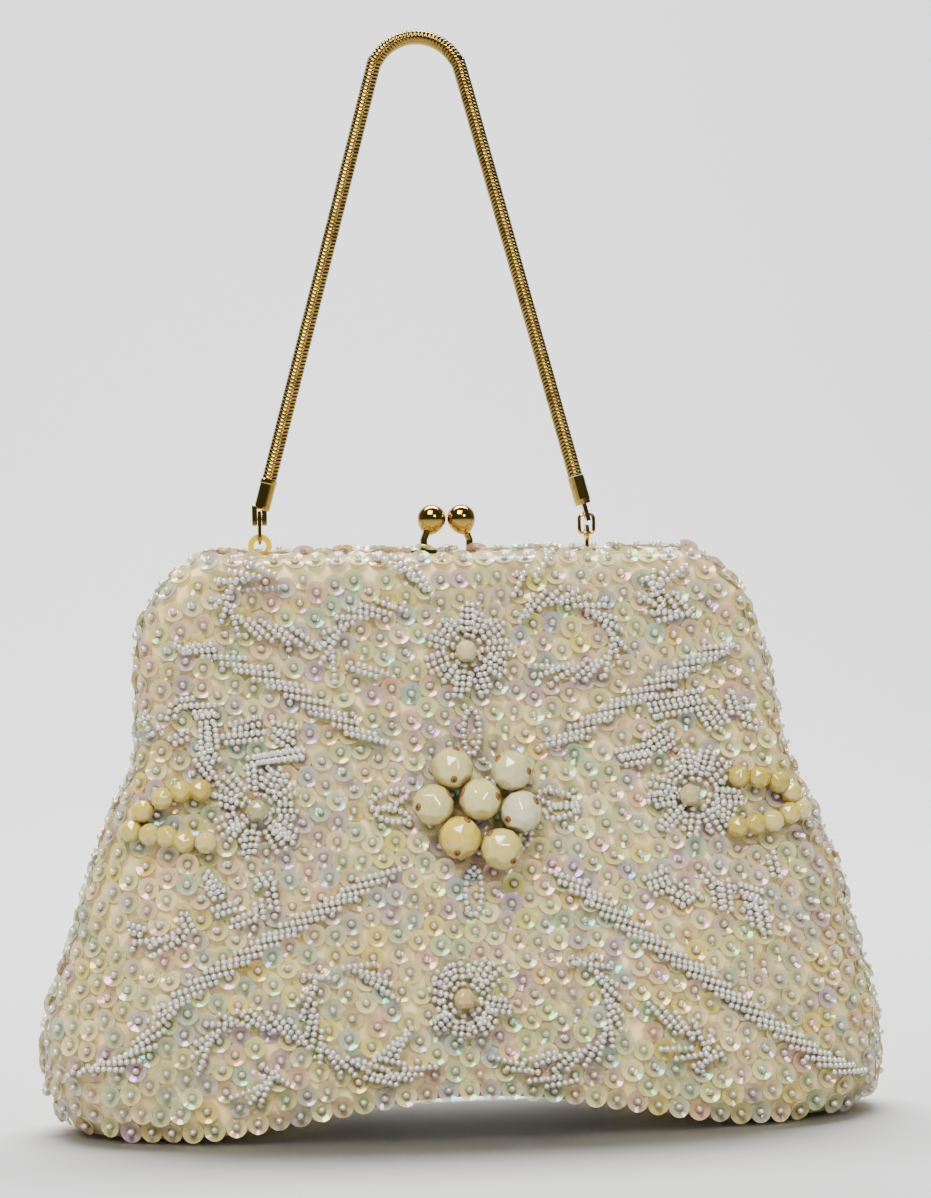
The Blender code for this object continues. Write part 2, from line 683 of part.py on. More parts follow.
def make_lug(end, lug_x, faces_front, skin, rear_frame, parent):
    near, far = FITTING_INNER_FACE, FITTING_INNER_FACE + FITTING_THICKNESS
    tab_top = BAG_HEIGHT - FITTING_TOP_DROP
    half_tab = LUG_TAB_WIDTH / 2
    thickness = FITTING_THICKNESS
    if faces_front:
        rim = (LUG_RING_OUTER_RADIUS + LUG_RING_HOLE_RADIUS) / 2
        centre = Vector((lug_x, LUG_PLANE, LINK_PIVOT_HEIGHT - rim))
        outer, hole, axis = LUG_RING_OUTER_RADIUS, LUG_RING_HOLE_RADIUS, Y_AXIS
        slot_half = outer + SLOT_CLEARANCE
        neck_half = half_tab
    else:
        centre = Vector((lug_x, LUG_PLANE, LINK_PIVOT_HEIGHT))
        outer, hole, axis = LUG_EYE_OUTER_RADIUS, LUG_EYE_HOLE_RADIUS, X_AXIS
        slot_half = thickness / 2 + SLOT_CLEARANCE
        neck_half = thickness / 2
    lug = plate_with_hole(f"handle_lug_{end}", centre, axis, outer, hole, thickness, GOLD, parent)
    neck_top = centre.z - (outer + hole) / 2
    neck = guide_box(f"lug_neck_{end}", (lug_x - neck_half, near, BOSS_HEIGHT),
                     (lug_x + neck_half, far, neck_top), parent)
    combine(lug, neck, "UNION")
    tab_high = min(tab_top, centre.z - hole - thickness)
    tab = guide_box(f"lug_tab_{end}", (lug_x - half_tab, near, tab_top - FITTING_DEPTH),
                    (lug_x + half_tab, far, tab_high), parent)
    combine(lug, tab, "UNION")
    slot = guide_box(f"lug_slot_{end}",
                     (lug_x - slot_half, near - SLOT_CLEARANCE, BAG_HEIGHT - TOP_EDGE_RADIUS / 2),
                     (lug_x + slot_half, far + SLOT_CLEARANCE, BAG_HEIGHT + CUT_OVERRUN), parent)
    combine(skin, slot, "DIFFERENCE")
    hole_radius = RIVET_SHANK_RADIUS + RIVET_HOLE_CLEARANCE
    origin = Vector((lug_x, near - CUT_OVERRUN, BOSS_HEIGHT))
    reach = FRAME_OUTER_FACE - near + 2 * CUT_OVERRUN
    bore = guide_turned(f"rivet_hole_{end}", ((0, hole_radius), (reach, hole_radius)), Y_AXIS,
                        X_AXIS, origin, 16, parent)
    combine(lug, bore, "DIFFERENCE")
    combine(rear_frame, bore, "DIFFERENCE")
    start = near - SEAT_GAP - RIVET_HEAD_THICKNESS
    grip = FRAME_OUTER_FACE - near + 2 * SEAT_GAP
    head = RIVET_HEAD_THICKNESS
    profile = ((0, RIVET_HEAD_RADIUS), (head, RIVET_HEAD_RADIUS), (head, RIVET_SHANK_RADIUS),
               (head + grip, RIVET_SHANK_RADIUS), (head + grip, RIVET_HEAD_RADIUS),
               (2 * head + grip, RIVET_HEAD_RADIUS))
    verts, faces = loft(turned(profile, Y_AXIS, X_AXIS, Vector((lug_x, start, BOSS_HEIGHT)), 16))
    make_object(f"lug_rivet_{end}", verts, faces, GOLD, parent)


def wire_loop(name, points, square_to, material, parent):
    """A closed wire through points in one plane."""
    rings = []
    for k, point in enumerate(points):
        axis = (points[(k + 1) % len(points)] - points[k - 1]).normalized()
        rings.append(ring(point, axis, square_to, LINK_WIRE_RADIUS, 8))
    verts, faces = loft(rings, closed=True)
    return make_object(name, verts, faces, material, parent)


def loop_points(across, half_width_of_loop, corner, low, high):
    """A loop with rounded corners between two heights, from its corner centres."""
    points = []
    reach = half_width_of_loop - corner
    corners = ((reach, high, 0), (-reach, high, 90), (-reach, low, 180), (reach, low, 270))
    for step, height, start in corners:
        for turn in range(0, 91, 18 if reach > 0 else 15):
            if reach <= 0 and turn == 90:
                continue
            angle = math.radians(start + turn)
            points.append(across * (step + corner * math.cos(angle))
                          + Z_AXIS * (height + corner * math.sin(angle)))
    return points


def make_links(link_left, link_right):
    base = Vector((LUG_LEFT_X, LUG_PLANE, 0))
    points = loop_points(Y_AXIS, LINK_END_RADIUS, LINK_END_RADIUS, LINK_PIVOT_HEIGHT,
                         HANDLE_PIVOT_HEIGHT)
    wire_loop("chain_link_left", [base + p for p in points], X_AXIS, GOLD, link_left)
    base = Vector((LUG_RIGHT_X, LUG_PLANE, 0))
    points = loop_points(X_AXIS, LINK_HALF_WIDTH, LINK_CORNER_RADIUS,
                         LINK_PIVOT_HEIGHT + LINK_CORNER_RADIUS,
                         HANDLE_PIVOT_HEIGHT - LINK_CORNER_RADIUS)
    wire_loop("chain_link_right", [base + p for p in points], Y_AXIS, GOLD, link_right)


# Handle

def leg_lean():
    """Lean of each leg from upright, for a straight leg that runs tangent into the arch."""
    rise = HANDLE_TOP_HEIGHT - HANDLE_ARCH_RADIUS - HANDLE_PIVOT_HEIGHT
    reach = math.hypot(HANDLE_HALF_SPREAD, rise)
    return math.atan2(HANDLE_HALF_SPREAD, rise) - math.asin(HANDLE_ARCH_RADIUS / reach)


def chain_route(start):
    """Centre line of the chain, in the plane of the handle, from start along the left leg."""
    lean = leg_lean()
    centre = Vector((HANDLE_CENTRE, LUG_PLANE, HANDLE_TOP_HEIGHT - HANDLE_ARCH_RADIUS))
    foot = Vector((LUG_RIGHT_X, LUG_PLANE, HANDLE_PIVOT_HEIGHT))
    along = Vector((-math.sin(lean), 0, math.cos(lean)))
    length = math.sqrt((centre - foot).length ** 2 - HANDLE_ARCH_RADIUS ** 2)
    steps = round((length - start) / CHAIN_STEP)
    right = [foot + along * (start + (length - start) * k / steps) for k in range(steps + 1)]
    arc_steps = 8
    arc = [centre + HANDLE_ARCH_RADIUS * Vector((math.cos(a), 0, math.sin(a)))
           for a in [lean + (math.pi / 2 - lean) * k / arc_steps for k in range(1, arc_steps + 1)]]
    half = right + arc
    mirrored = [Vector((2 * HANDLE_CENTRE - p.x, p.y, p.z)) for p in half[:-1]]
    return mirrored + half[::-1]


def make_chain(handle):
    spigot_start = CAP_START + CAP_FLOOR + SEAT_GAP
    body_start = CAP_START + CAP_LENGTH + SEAT_GAP
    route = chain_route(body_start)
    spigot = body_start - spigot_start
    rings = []
    for k, point in enumerate(route):
        ahead = route[min(k + 1, len(route) - 1)] - route[max(k - 1, 0)]
        axis = ahead.normalized()
        rings.append(ring(point, axis, Y_AXIS, CHAIN_RADIUS, 10))
    first = (route[1] - route[0]).normalized()
    last = (route[-1] - route[-2]).normalized()
    rings.insert(0, ring(route[0], first, Y_AXIS, CHAIN_SPIGOT_RADIUS, 10))
    rings.insert(0, ring(route[0] - first * spigot, first, Y_AXIS, CHAIN_SPIGOT_RADIUS, 10))
    rings.append(ring(route[-1], last, Y_AXIS, CHAIN_SPIGOT_RADIUS, 10))
    rings.append(ring(route[-1] + last * spigot, last, Y_AXIS, CHAIN_SPIGOT_RADIUS, 10))
    verts, faces = loft(rings)
    make_object("snake_chain", verts, faces, GOLD, handle)


def make_end_cap(end, pivot_x, lean, slotted, handle):
    """A cup on the chain's end with a flat eye that the link goes through."""
    turn = Matrix.Rotation(lean, 4, "Y")
    place = Matrix.Translation(Vector((pivot_x, LUG_PLANE, HANDLE_PIVOT_HEIGHT))) @ turn
    bore = CHAIN_SPIGOT_RADIUS + CAP_BORE_CLEARANCE
    floor = CAP_START + CAP_FLOOR
    top = CAP_START + CAP_LENGTH
    profile = ((CAP_START, CAP_TIP_RADIUS), (floor, CAP_RADIUS), (top, CAP_RADIUS), (top, bore),
               (floor, bore))
    verts, faces = loft(turned(profile, Z_AXIS, X_AXIS, Vector(), 16))
    cap = make_object(f"end_cap_{end}", [place @ v for v in verts], faces, GOLD, handle)
    half = CAP_TAB_THICKNESS / 2
    low = -CAP_BAR_HALF_HEIGHT if slotted else -CAP_TAB_HALF_WIDTH
    high = CAP_START + CAP_FLOOR / 2
    wide = CAP_TAB_HALF_WIDTH
    box_low = (-wide, -half, low) if slotted else (-half, -wide, low)
    box_high = (wide, half, high) if slotted else (half, wide, high)
    tab = guide_box(f"cap_tab_{end}", box_low, box_high, ORIGIN)
    if slotted:
        hole = guide_box(f"cap_slot_{end}",
                         (-CAP_SLOT_HALF_WIDTH, -half - CUT_OVERRUN, CAP_BAR_HALF_HEIGHT),
                         (CAP_SLOT_HALF_WIDTH, half + CUT_OVERRUN,
                          CAP_BAR_HALF_HEIGHT + CAP_SLOT_HEIGHT), ORIGIN)
    else:
        reach = half + CUT_OVERRUN
        hole = guide_turned(f"cap_eye_{end}", ((-reach, CAP_EYE_RADIUS), (reach, CAP_EYE_RADIUS)),
                            X_AXIS, Y_AXIS, Vector(), 16, ORIGIN)
    for guide, operation in ((tab, "UNION"), (hole, "DIFFERENCE")):
        guide.parent = None
        guide.matrix_world = place
        combine(cap, guide, operation)


def make_handle(handle):
    lean = leg_lean()
    make_end_cap("left", LUG_LEFT_X, lean, True, handle)
    make_end_cap("right", LUG_RIGHT_X, -lean, False, handle)
    make_chain(handle)


# Beadwork: a place is given as shares of the half width there and of the bag's height. A strand starts at
# shares of the rosette's radius from the middle of its flower.

CLUSTER_SHARES = (0.03, 0.555)
CLUSTER_RADIUS_SHARES = ((0.0, 0.0), (-1.34, 1.58), (1.62, 1.38), (-2.38, -0.22), (2.06, -0.66),
                         (-1.08, -1.85), (1.0, -2.46))
FLOWER_SHARES = {"top": (0.005, 0.811), "bottom": (-0.024, 0.228), "left": (-0.588, 0.546),
                 "right": (0.63, 0.555)}
STRAND_START_SHARES = {"left_upper": (-1.52, 0.56), "left_lower": (-1.375, -0.845),
                       "right_upper": (1.427, 0.445), "right_lower": (1.32, -0.95)}
STRAND_HEADINGS = {"left_upper": (182, 198, 215), "left_lower": (176, 164, 168, 166),
                   "right_upper": (-4, -14, -28), "right_lower": (4, 6, 10, 10)}
ROPE_SHARES = {
    "seed_rope_upper_left": ((-0.91, 0.836), (-0.763, 0.811), (-0.569, 0.745), (-0.362, 0.671),
                             (-0.249, 0.646)),
    "seed_rope_lower_left": ((-0.181, 0.461), (-0.329, 0.406), (-0.467, 0.351), (-0.608, 0.28),
                             (-0.759, 0.16), (-0.845, 0.126)),
    "seed_rope_upper_right": ((0.217, 0.632), (0.406, 0.698), (0.535, 0.739), (0.703, 0.79),
                              (0.87, 0.823)),
    "seed_rope_lower_right": ((0.193, 0.446), (0.321, 0.378), (0.538, 0.256), (0.664, 0.178),
                              (0.824, 0.111)),
    "seed_scroll_top_left": ((-0.625, 0.94), (-0.719, 0.931), (-0.75, 0.897), (-0.695, 0.867),
                             (-0.536, 0.846), (-0.441, 0.839)),
    "seed_scroll_top_right": ((0.147, 0.864), (0.314, 0.897), (0.432, 0.862), (0.481, 0.81),
                              (0.388, 0.776)),
    "seed_scroll_bottom_left": ((-0.162, 0.141), (-0.331, 0.136), (-0.379, 0.202),
                                (-0.406, 0.252), (-0.339, 0.275)),
    "seed_scroll_bottom_right": ((0.115, 0.141), (0.285, 0.136), (0.332, 0.202), (0.358, 0.252),
                                 (0.291, 0.275)),
}
ROPE_SECTION_SHARES = ((-1.0, 0.0), (-0.8, 0.7), (0.0, 1.0), (0.8, 0.7), (1.0, 0.0))


def shared_place(shares):
    across, up = shares
    z = up * BAG_HEIGHT
    return Vector((across * half_width(z), z))


def smooth_route(points, between=3):
    """Points of a smooth curve through hand-picked places."""
    ends = [points[0]] + list(points) + [points[-1]]
    route = []
    for k in range(1, len(ends) - 2):
        before, start, stop, after = (Vector(p) for p in ends[k - 1:k + 3])
        for j in range(between):
            t = j / between
            bend = 2 * start + (stop - before) * t + (2 * before - 5 * start + 4 * stop - after) \
                * t ** 2 + (3 * start - before - 3 * stop + after) * t ** 3
            route.append(bend / 2)
    route.append(Vector(points[-1]))
    return route


def make_ropes(bag):
    """Raised ropes of couched seed beads, as half-round ridges that lie on the cloth."""
    half = ROPE_WIDTH / 2
    for name, shares in ROPE_SHARES.items():
        route = smooth_route([shared_place(share) for share in shares])
        rings = []
        for k, point in enumerate(route):
            ahead = (route[min(k + 1, len(route) - 1)] - route[max(k - 1, 0)]).normalized()
            across = Vector((-ahead.y, ahead.x))
            shape = []
            for share, height_share in ROPE_SECTION_SHARES:
                x, z = point + across * (half * share)
                shape.append(front_place(x, z, SEAT_GAP + ROPE_HEIGHT * height_share))
            rings.append(shape)
        verts, faces = loft(rings)
        make_object(name, verts, faces, PEARL, bag)


def make_flowers(bag):
    count = 4 * ROSETTE_PETALS
    for name, shares in FLOWER_SHARES.items():
        x, z = shared_place(shares)
        sections = []
        for k in range(count):
            angle = math.tau * k / count
            rim = ROSETTE_RADIUS + ROSETTE_PETAL_DEPTH * math.cos(ROSETTE_PETALS * angle)
            shoulder = rim - ROPE_HEIGHT
            radii = ((rim, 0.0), (shoulder, 1.0), (ROSETTE_EYE_RADIUS + ROPE_HEIGHT, 1.0),
                     (ROSETTE_EYE_RADIUS, 0.0))
            sections.append([front_place(x + r * math.cos(angle), z + r * math.sin(angle),
                                         SEAT_GAP + ROPE_HEIGHT * h) for r, h in radii])
        verts, faces = loft(sections, closed=True)
        make_object(f"seed_flower_{name}", verts, faces, PEARL, bag)
        make_bead(f"flower_bead_{name}", x, z, FLOWER_BEAD_RADIUS, X_AXIS, FLOWER_IVORY, bag)


def make_bead(name, x, z, radius, axis, material, parent):
    """A faceted bead with its thread hole, seated on the cloth."""
    centre = front_place(x, z, radius + BEAD_SEAT_GAP)
    normal = skin_normal(*front_place(x, z))
    axis = (axis - normal * axis.dot(normal)).normalized()
    reach = math.asin(BEAD_HOLE_RADIUS / radius)
    steps = [reach + (math.pi - 2 * reach) * k / 6 for k in range(7)]
    profile = [(-radius * math.cos(a), radius * math.sin(a)) for a in steps]
    verts, faces = loft(turned(profile, axis, normal, centre, 10), closed=True)
    make_object(name, verts, faces, material, parent, smooth=False)


def make_centre_beads(bag):
    middle = shared_place(CLUSTER_SHARES)
    for k, shares in enumerate(CLUSTER_RADIUS_SHARES):
        x, z = middle + Vector(shares) * CENTRE_BEAD_RADIUS
        lean = math.pi / 4 * k / len(CLUSTER_RADIUS_SHARES)
        axis = Z_AXIS * math.cos(lean) + X_AXIS * math.sin(lean)
        make_bead(f"centre_bead_{k + 1}", x, z, CENTRE_BEAD_RADIUS, axis, IVORY, bag)


def make_strands(bag):
    """Short strings of round beads, each string one solid joined by its thread."""
    radius = STRAND_BEAD_RADIUS
    thread = math.asin(STRAND_THREAD_RADIUS / radius)
    angles = [thread + (math.pi - 2 * thread) * k / 4 for k in range(5)]
    for name, headings in STRAND_HEADINGS.items():
        flower = name.split("_")[0]
        start = Vector(STRAND_START_SHARES[name]) * ROSETTE_RADIUS
        places = [shared_place(FLOWER_SHARES[flower]) + start]
        for heading in headings:
            turn = math.radians(heading)
            places.append(places[-1] + Vector((math.cos(turn), math.sin(turn))) * STRAND_PITCH)
        centres = [front_place(x, z, radius + BEAD_SEAT_GAP) for x, z in places]
        rings = []
        for k, centre in enumerate(centres):
            ahead = centres[min(k + 1, len(centres) - 1)] - centres[max(k - 1, 0)]
            axis = ahead.normalized()
            normal = skin_normal(*front_place(*places[k]))
            side = (normal - axis * normal.dot(axis)).normalized()
            room = min([(centre - c).length / 2 for c in centres if c is not centre])
            for angle in angles:
                along = -radius * math.cos(angle)
                along = math.copysign(min(abs(along), room - SEAT_GAP), along)
                rings.append(ring(centre + axis * along, axis, side,
                                  max(radius * math.sin(angle), STRAND_THREAD_RADIUS), 8))
        verts, faces = loft(rings)
        make_object(f"edge_strand_{name}", verts, faces, STRAND_IVORY, bag)


clear_scene()
GUIDE = make_material("guide", (0.5, 0.5, 0.5), 1.0)
BEADED = make_material("beaded_satin", (0.78, 0.71, 0.56), 0.35)
SATIN = make_material("satin_lining", (0.80, 0.74, 0.62), 0.4)
WADDING = make_material("cotton_interlining", (0.82, 0.81, 0.77), 0.9)
BOARD = make_material("grey_board", (0.42, 0.40, 0.36), 0.9)
FRAME_METAL = make_material("plated_steel", (0.72, 0.60, 0.36), 0.35, 1.0)
GOLD = make_material("polished_gilt_brass", (0.80, 0.58, 0.22), 0.15, 1.0)
PEARL = make_material("pearl_seed_beads", (0.72, 0.74, 0.78), 0.25)
IVORY = make_material("faceted_ivory_glass", (0.86, 0.78, 0.58), 0.12)
FLOWER_IVORY = make_material("flower_ivory_glass", (0.88, 0.82, 0.62), 0.15)
STRAND_IVORY = make_material("strand_ivory_glass", (0.80, 0.72, 0.42), 0.2)

ORIGIN = make_empty("world_origin", Vector())
BAG = make_empty("bag", Vector())
REAR = make_empty("rear_half", Vector((0, 0, HINGE_HEIGHT)), BAG)
LINK_LEFT = make_empty("link_left", Vector((LUG_LEFT_X, LUG_PLANE, LINK_PIVOT_HEIGHT)), REAR)
LINK_RIGHT = make_empty("link_right", Vector((LUG_RIGHT_X, LUG_PLANE, LINK_PIVOT_HEIGHT)), REAR)
HANDLE = make_empty("handle", Vector((HANDLE_CENTRE, LUG_PLANE, HANDLE_PIVOT_HEIGHT)), LINK_LEFT)

front_skin, back_skin = make_cloth(BAG, REAR)
front_bar, rear_bar = make_frame(BAG, REAR)
make_clasp(front_skin, back_skin, BAG, REAR)
make_lug("left", LUG_LEFT_X, True, back_skin, rear_bar, REAR)
make_lug("right", LUG_RIGHT_X, False, back_skin, rear_bar, REAR)
make_links(LINK_LEFT, LINK_RIGHT)
make_handle(HANDLE)
make_ropes(BAG)
make_flowers(BAG)
make_centre_beads(BAG)
make_strands(BAG)
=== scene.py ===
"""Dresses the beaded evening bag: cloth, lining, sequins, beads, gilt metal and a plain stage."""

import json
import math

import bmesh
import bpy
import numpy
from bpy.props import FloatProperty, FloatVectorProperty, IntProperty, PointerProperty
from mathutils import Euler, Matrix, Vector, noise
from mathutils.bvhtree import BVHTree
from mathutils.kdtree import KDTree


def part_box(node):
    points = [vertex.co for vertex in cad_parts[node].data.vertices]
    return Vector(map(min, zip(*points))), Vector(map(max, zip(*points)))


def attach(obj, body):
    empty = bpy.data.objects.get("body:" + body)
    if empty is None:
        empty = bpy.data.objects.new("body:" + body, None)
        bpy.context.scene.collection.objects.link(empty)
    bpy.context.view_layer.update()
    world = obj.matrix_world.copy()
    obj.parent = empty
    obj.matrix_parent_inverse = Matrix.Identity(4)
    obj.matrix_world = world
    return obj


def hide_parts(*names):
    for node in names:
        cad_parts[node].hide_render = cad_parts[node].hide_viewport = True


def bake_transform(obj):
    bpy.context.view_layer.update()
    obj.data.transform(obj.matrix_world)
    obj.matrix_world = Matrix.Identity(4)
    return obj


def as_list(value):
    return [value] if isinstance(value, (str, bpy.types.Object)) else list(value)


bl_info = {
    "name": "Beaded evening bag",
    "version": (1, 0, 0),
    "blender": (4, 5, 0),
    "location": "3D View > Sidebar > Bag",
    "description": "Makes the cloth, beadwork and gilt fittings of a beaded evening bag",
    "category": "Add Mesh",
}

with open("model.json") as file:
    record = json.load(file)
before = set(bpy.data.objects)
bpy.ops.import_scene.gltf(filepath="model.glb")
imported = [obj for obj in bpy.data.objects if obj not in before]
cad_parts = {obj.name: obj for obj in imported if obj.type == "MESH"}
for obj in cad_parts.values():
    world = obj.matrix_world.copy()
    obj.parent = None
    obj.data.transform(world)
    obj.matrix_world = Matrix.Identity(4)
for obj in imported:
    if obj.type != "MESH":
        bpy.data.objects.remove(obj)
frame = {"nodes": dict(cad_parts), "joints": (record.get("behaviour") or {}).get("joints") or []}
NODES = frame["nodes"]
MILLIMETRE = 0.001
NEAR_ZERO = 1e-6
JOINTS = {joint["name"]: joint for joint in frame["joints"]}
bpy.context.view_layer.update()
HINGE = Vector(JOINTS["frame_hinge"]["pos_m"])
LEFT_PIVOT = Vector(JOINTS["handle_swing"]["pos_m"])
RIGHT_PIVOT = Vector((JOINTS["link_right_swing"]["pos_m"][0], LEFT_PIVOT.y, LEFT_PIVOT.z))

# The photograph's frame, in which pixel places are read
IMAGE_WIDTH = 931
IMAGE_HEIGHT = 1198
SENSOR = 36.0

# Outline of the closed bag, from the top edge down each side, in pixels
LEFT_EDGE_PIXELS = (
    (214, 553), (193, 560), (174, 574), (160, 588), (149, 604), (140, 620), (135, 638), (133, 655),
    (133, 690), (134, 720), (133, 755), (128, 780), (114, 802), (102, 830), (88, 872), (76, 910),
    (66, 950), (54, 980), (43, 1010), (40, 1040), (42, 1070), (50, 1100), (68, 1126), (92, 1140),
)
RIGHT_EDGE_PIXELS = (
    (697, 552), (713, 560), (729, 575), (741, 590), (748, 605), (754, 620), (758, 635), (762, 650),
    (768, 680), (776, 710), (784, 740), (793, 765), (806, 790), (818, 812), (827, 835), (840, 865),
    (848, 900), (858, 935), (868, 965), (877, 1000), (882, 1040), (880, 1065), (872, 1086), (850, 1104),
    (822, 1112),
)

# How a line's short threads are laid: beads in each, beads from one to the next, and degrees from the line
ROPE_BARS = (8, 2.9, 20.0)
ROPE_BARS_BACK = (8, 2.9, -20.0)
SCROLL_BARS = (6, 2.3, 30.0)
SCROLL_BARS_BACK = (6, 2.3, -30.0)
SPRIG_BARS = (6, 2.8, 22.0)
SPRIG_BARS_BACK = (6, 2.8, -22.0)

# Couched ropes and scrolls of seed beads: pixel places along each, and how its threads are laid
SEED_LINES = {
    "seed_rope_upper_left": ((
        (137, 642), (187, 647), (222, 657), (262, 676), (300, 696), (345, 724), (388, 752),
    ), *ROPE_BARS),
    "seed_rope_lower_left": ((
        (398, 862), (345, 897), (285, 932), (215, 975), (170, 1010), (140, 1050), (100, 1070), (50, 1085),
    ), *ROPE_BARS_BACK),
    "seed_rope_upper_right": ((
        (540, 755), (570, 735), (600, 716), (645, 690), (690, 664), (725, 645), (752, 634),
    ), *ROPE_BARS_BACK),
    "seed_rope_lower_right": ((
        (545, 862), (580, 890), (640, 935), (700, 975), (760, 1018), (815, 1055), (858, 1076),
    ), *ROPE_BARS),
    "seed_scroll_top_left": ((
        (276, 569), (245, 576), (228, 588), (226, 608), (238, 624), (262, 631), (290, 636), (321, 639),
    ), *SCROLL_BARS_BACK),
    "seed_scroll_top_right": ((
        (510, 620), (535, 604), (565, 598), (597, 612), (614, 640), (604, 664), (575, 672), (545, 668),
        (532, 652),
    ), *SCROLL_BARS),
    "seed_scroll_bottom_left": ((
        (405, 1055), (365, 1066), (330, 1058), (316, 1035), (308, 1005), (312, 982), (335, 972),
    ), *SCROLL_BARS_BACK),
    "seed_scroll_bottom_right": ((
        (520, 1050), (560, 1060), (596, 1048), (612, 1020), (606, 985), (590, 964), (562, 958),
    ), *SCROLL_BARS),
}
SCROLL_LINES = (
    (((408, 604), (378, 610), (352, 618), (334, 634), (329, 658), (344, 680)), *SCROLL_BARS_BACK),
    (((344, 676), (362, 672), (390, 666)), *SCROLL_BARS_BACK),
    (((366, 566), (396, 568), (420, 580), (440, 596)), *SPRIG_BARS_BACK),
    (((245, 584), (262, 590), (281, 600)), *SCROLL_BARS),
    (((556, 560), (530, 574), (508, 592)), *SPRIG_BARS),
    (((690, 576), (662, 578), (648, 594), (658, 612), (688, 622)), *SCROLL_BARS),
    (((640, 585), (668, 600), (696, 610)), *SCROLL_BARS_BACK),
    (((210, 1078), (204, 1050), (222, 1024), (256, 1020), (290, 1030), (318, 1044)), *SCROLL_BARS_BACK),
    (((228, 1086), (254, 1092), (276, 1078), (262, 1060)), *SCROLL_BARS),
    (((420, 1030), (396, 1046), (366, 1052)), *SCROLL_BARS),
    (((340, 962), (362, 968), (384, 990), (388, 1010)), *SCROLL_BARS),
    (((640, 1010), (676, 1022), (706, 1044), (700, 1076)), *SCROLL_BARS_BACK),
    (((660, 1040), (690, 1056), (722, 1062)), *SCROLL_BARS),
    (((492, 1050), (530, 1074), (578, 1086)), *SPRIG_BARS),
    (((360, 1084), (400, 1076), (438, 1058)), *SPRIG_BARS_BACK),
)
# Single strings of seed beads: the pixel places of their two ends
SEED_STRINGS = (
    (151, 710, 165, 736), (167, 740, 191, 730), (167, 722, 172, 702), (174, 701, 196, 698),
    (189, 706, 218, 705), (194, 718, 218, 714), (207, 725, 209, 754), (215, 722, 218, 750),
    (220, 737, 267, 732), (227, 725, 263, 716), (270, 722, 300, 728), (276, 732, 296, 744),
    (245, 759, 305, 748), (255, 757, 307, 750), (198, 752, 218, 781), (205, 744, 222, 762),
    (207, 870, 226, 893), (209, 880, 224, 900), (210, 911, 239, 902), (230, 922, 258, 911),
    (259, 873, 268, 886), (267, 872, 276, 886), (273, 886, 279, 913), (261, 898, 264, 921),
    (135, 943, 177, 938), (130, 924, 150, 930), (154, 957, 187, 936), (150, 948, 182, 930),
    (186, 912, 196, 934), (640, 700, 700, 690), (646, 712, 706, 700), (700, 706, 716, 730),
    (712, 700, 728, 724), (730, 690, 738, 716), (738, 716, 762, 724), (742, 706, 766, 714),
    (748, 690, 762, 680), (640, 740, 664, 724), (650, 750, 672, 734), (612, 752, 650, 744),
    (618, 760, 652, 754), (640, 880, 668, 870), (646, 890, 676, 880), (668, 890, 690, 904),
    (676, 884, 700, 896), (716, 880, 720, 912), (726, 878, 730, 912), (736, 884, 762, 892),
    (740, 896, 766, 904), (752, 900, 758, 930), (762, 904, 768, 936), (770, 850, 778, 880),
    (700, 868, 714, 882),
)
# Narrow loops round the centre cluster: middle, half length, half width and lean in degrees
SEED_LOOPS = ((471, 732, 23, 8, 90), (473, 892, 24, 8, 90), (389, 800, 20, 7, 20), (392, 816, 17, 6, -10),
              (556, 800, 20, 7, -12), (560, 812, 17, 6, 16), (520, 842, 13, 6, 40))

FLOWER_PIXELS = {"top": (466, 651), "bottom": (465, 1000), "left": (257, 811), "right": (693, 795)}
FLOWER_REACH_PIXELS = {"top": 47, "bottom": 46, "left": 50, "right": 50}
FLOWER_PETALS = 11


class BagSizes(bpy.types.PropertyGroup):
    """Sizes of the cloth body and its layers."""
    top: FloatProperty(name="Top", description="Height of the cloth at the closed frame", unit="LENGTH",
                       precision=4, default=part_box("front_panel")[1].z)
    arch_rise: FloatProperty(name="Arch", description="Rise of the bottom edge in the middle", unit="LENGTH",
                             precision=4, default=0.009)
    arch_half_span: FloatProperty(name="Arch half span", description="Half the width of the arch",
                                  unit="LENGTH", precision=4, default=0.078)
    top_half_depth: FloatProperty(name="Top half depth", description="Half depth at the frame",
                                  unit="LENGTH", precision=4, default=0.0082)
    hinge_half_depth: FloatProperty(name="Hinge half depth", description="Half depth at the hinges",
                                    unit="LENGTH", precision=4, default=0.012)
    base_half_depth: FloatProperty(name="Base half depth", description="Half depth at the bottom",
                                   unit="LENGTH", precision=4, default=0.025)
    cloth: FloatProperty(name="Cloth", description="Thickness of the satin and its backing", unit="LENGTH",
                         precision=5, default=0.0009)
    beaded_inset: FloatProperty(name="Beaded inset", description="How far the cloth lies under the beads",
                                unit="LENGTH", precision=5, default=0.0012)
    top_inset: FloatProperty(name="Top inset", description="How far the fold over the frame lies under the "
                             "sequins", unit="LENGTH", precision=5, default=0.0026)
    foot_lift: FloatProperty(name="Foot lift", description="Height of the cloth's edge over the rims below",
                             unit="LENGTH", precision=5, default=0.0014)
    puff: FloatProperty(name="Puff", description="How far the wadding lifts the cloth unevenly",
                        unit="LENGTH", precision=5, default=0.0006)


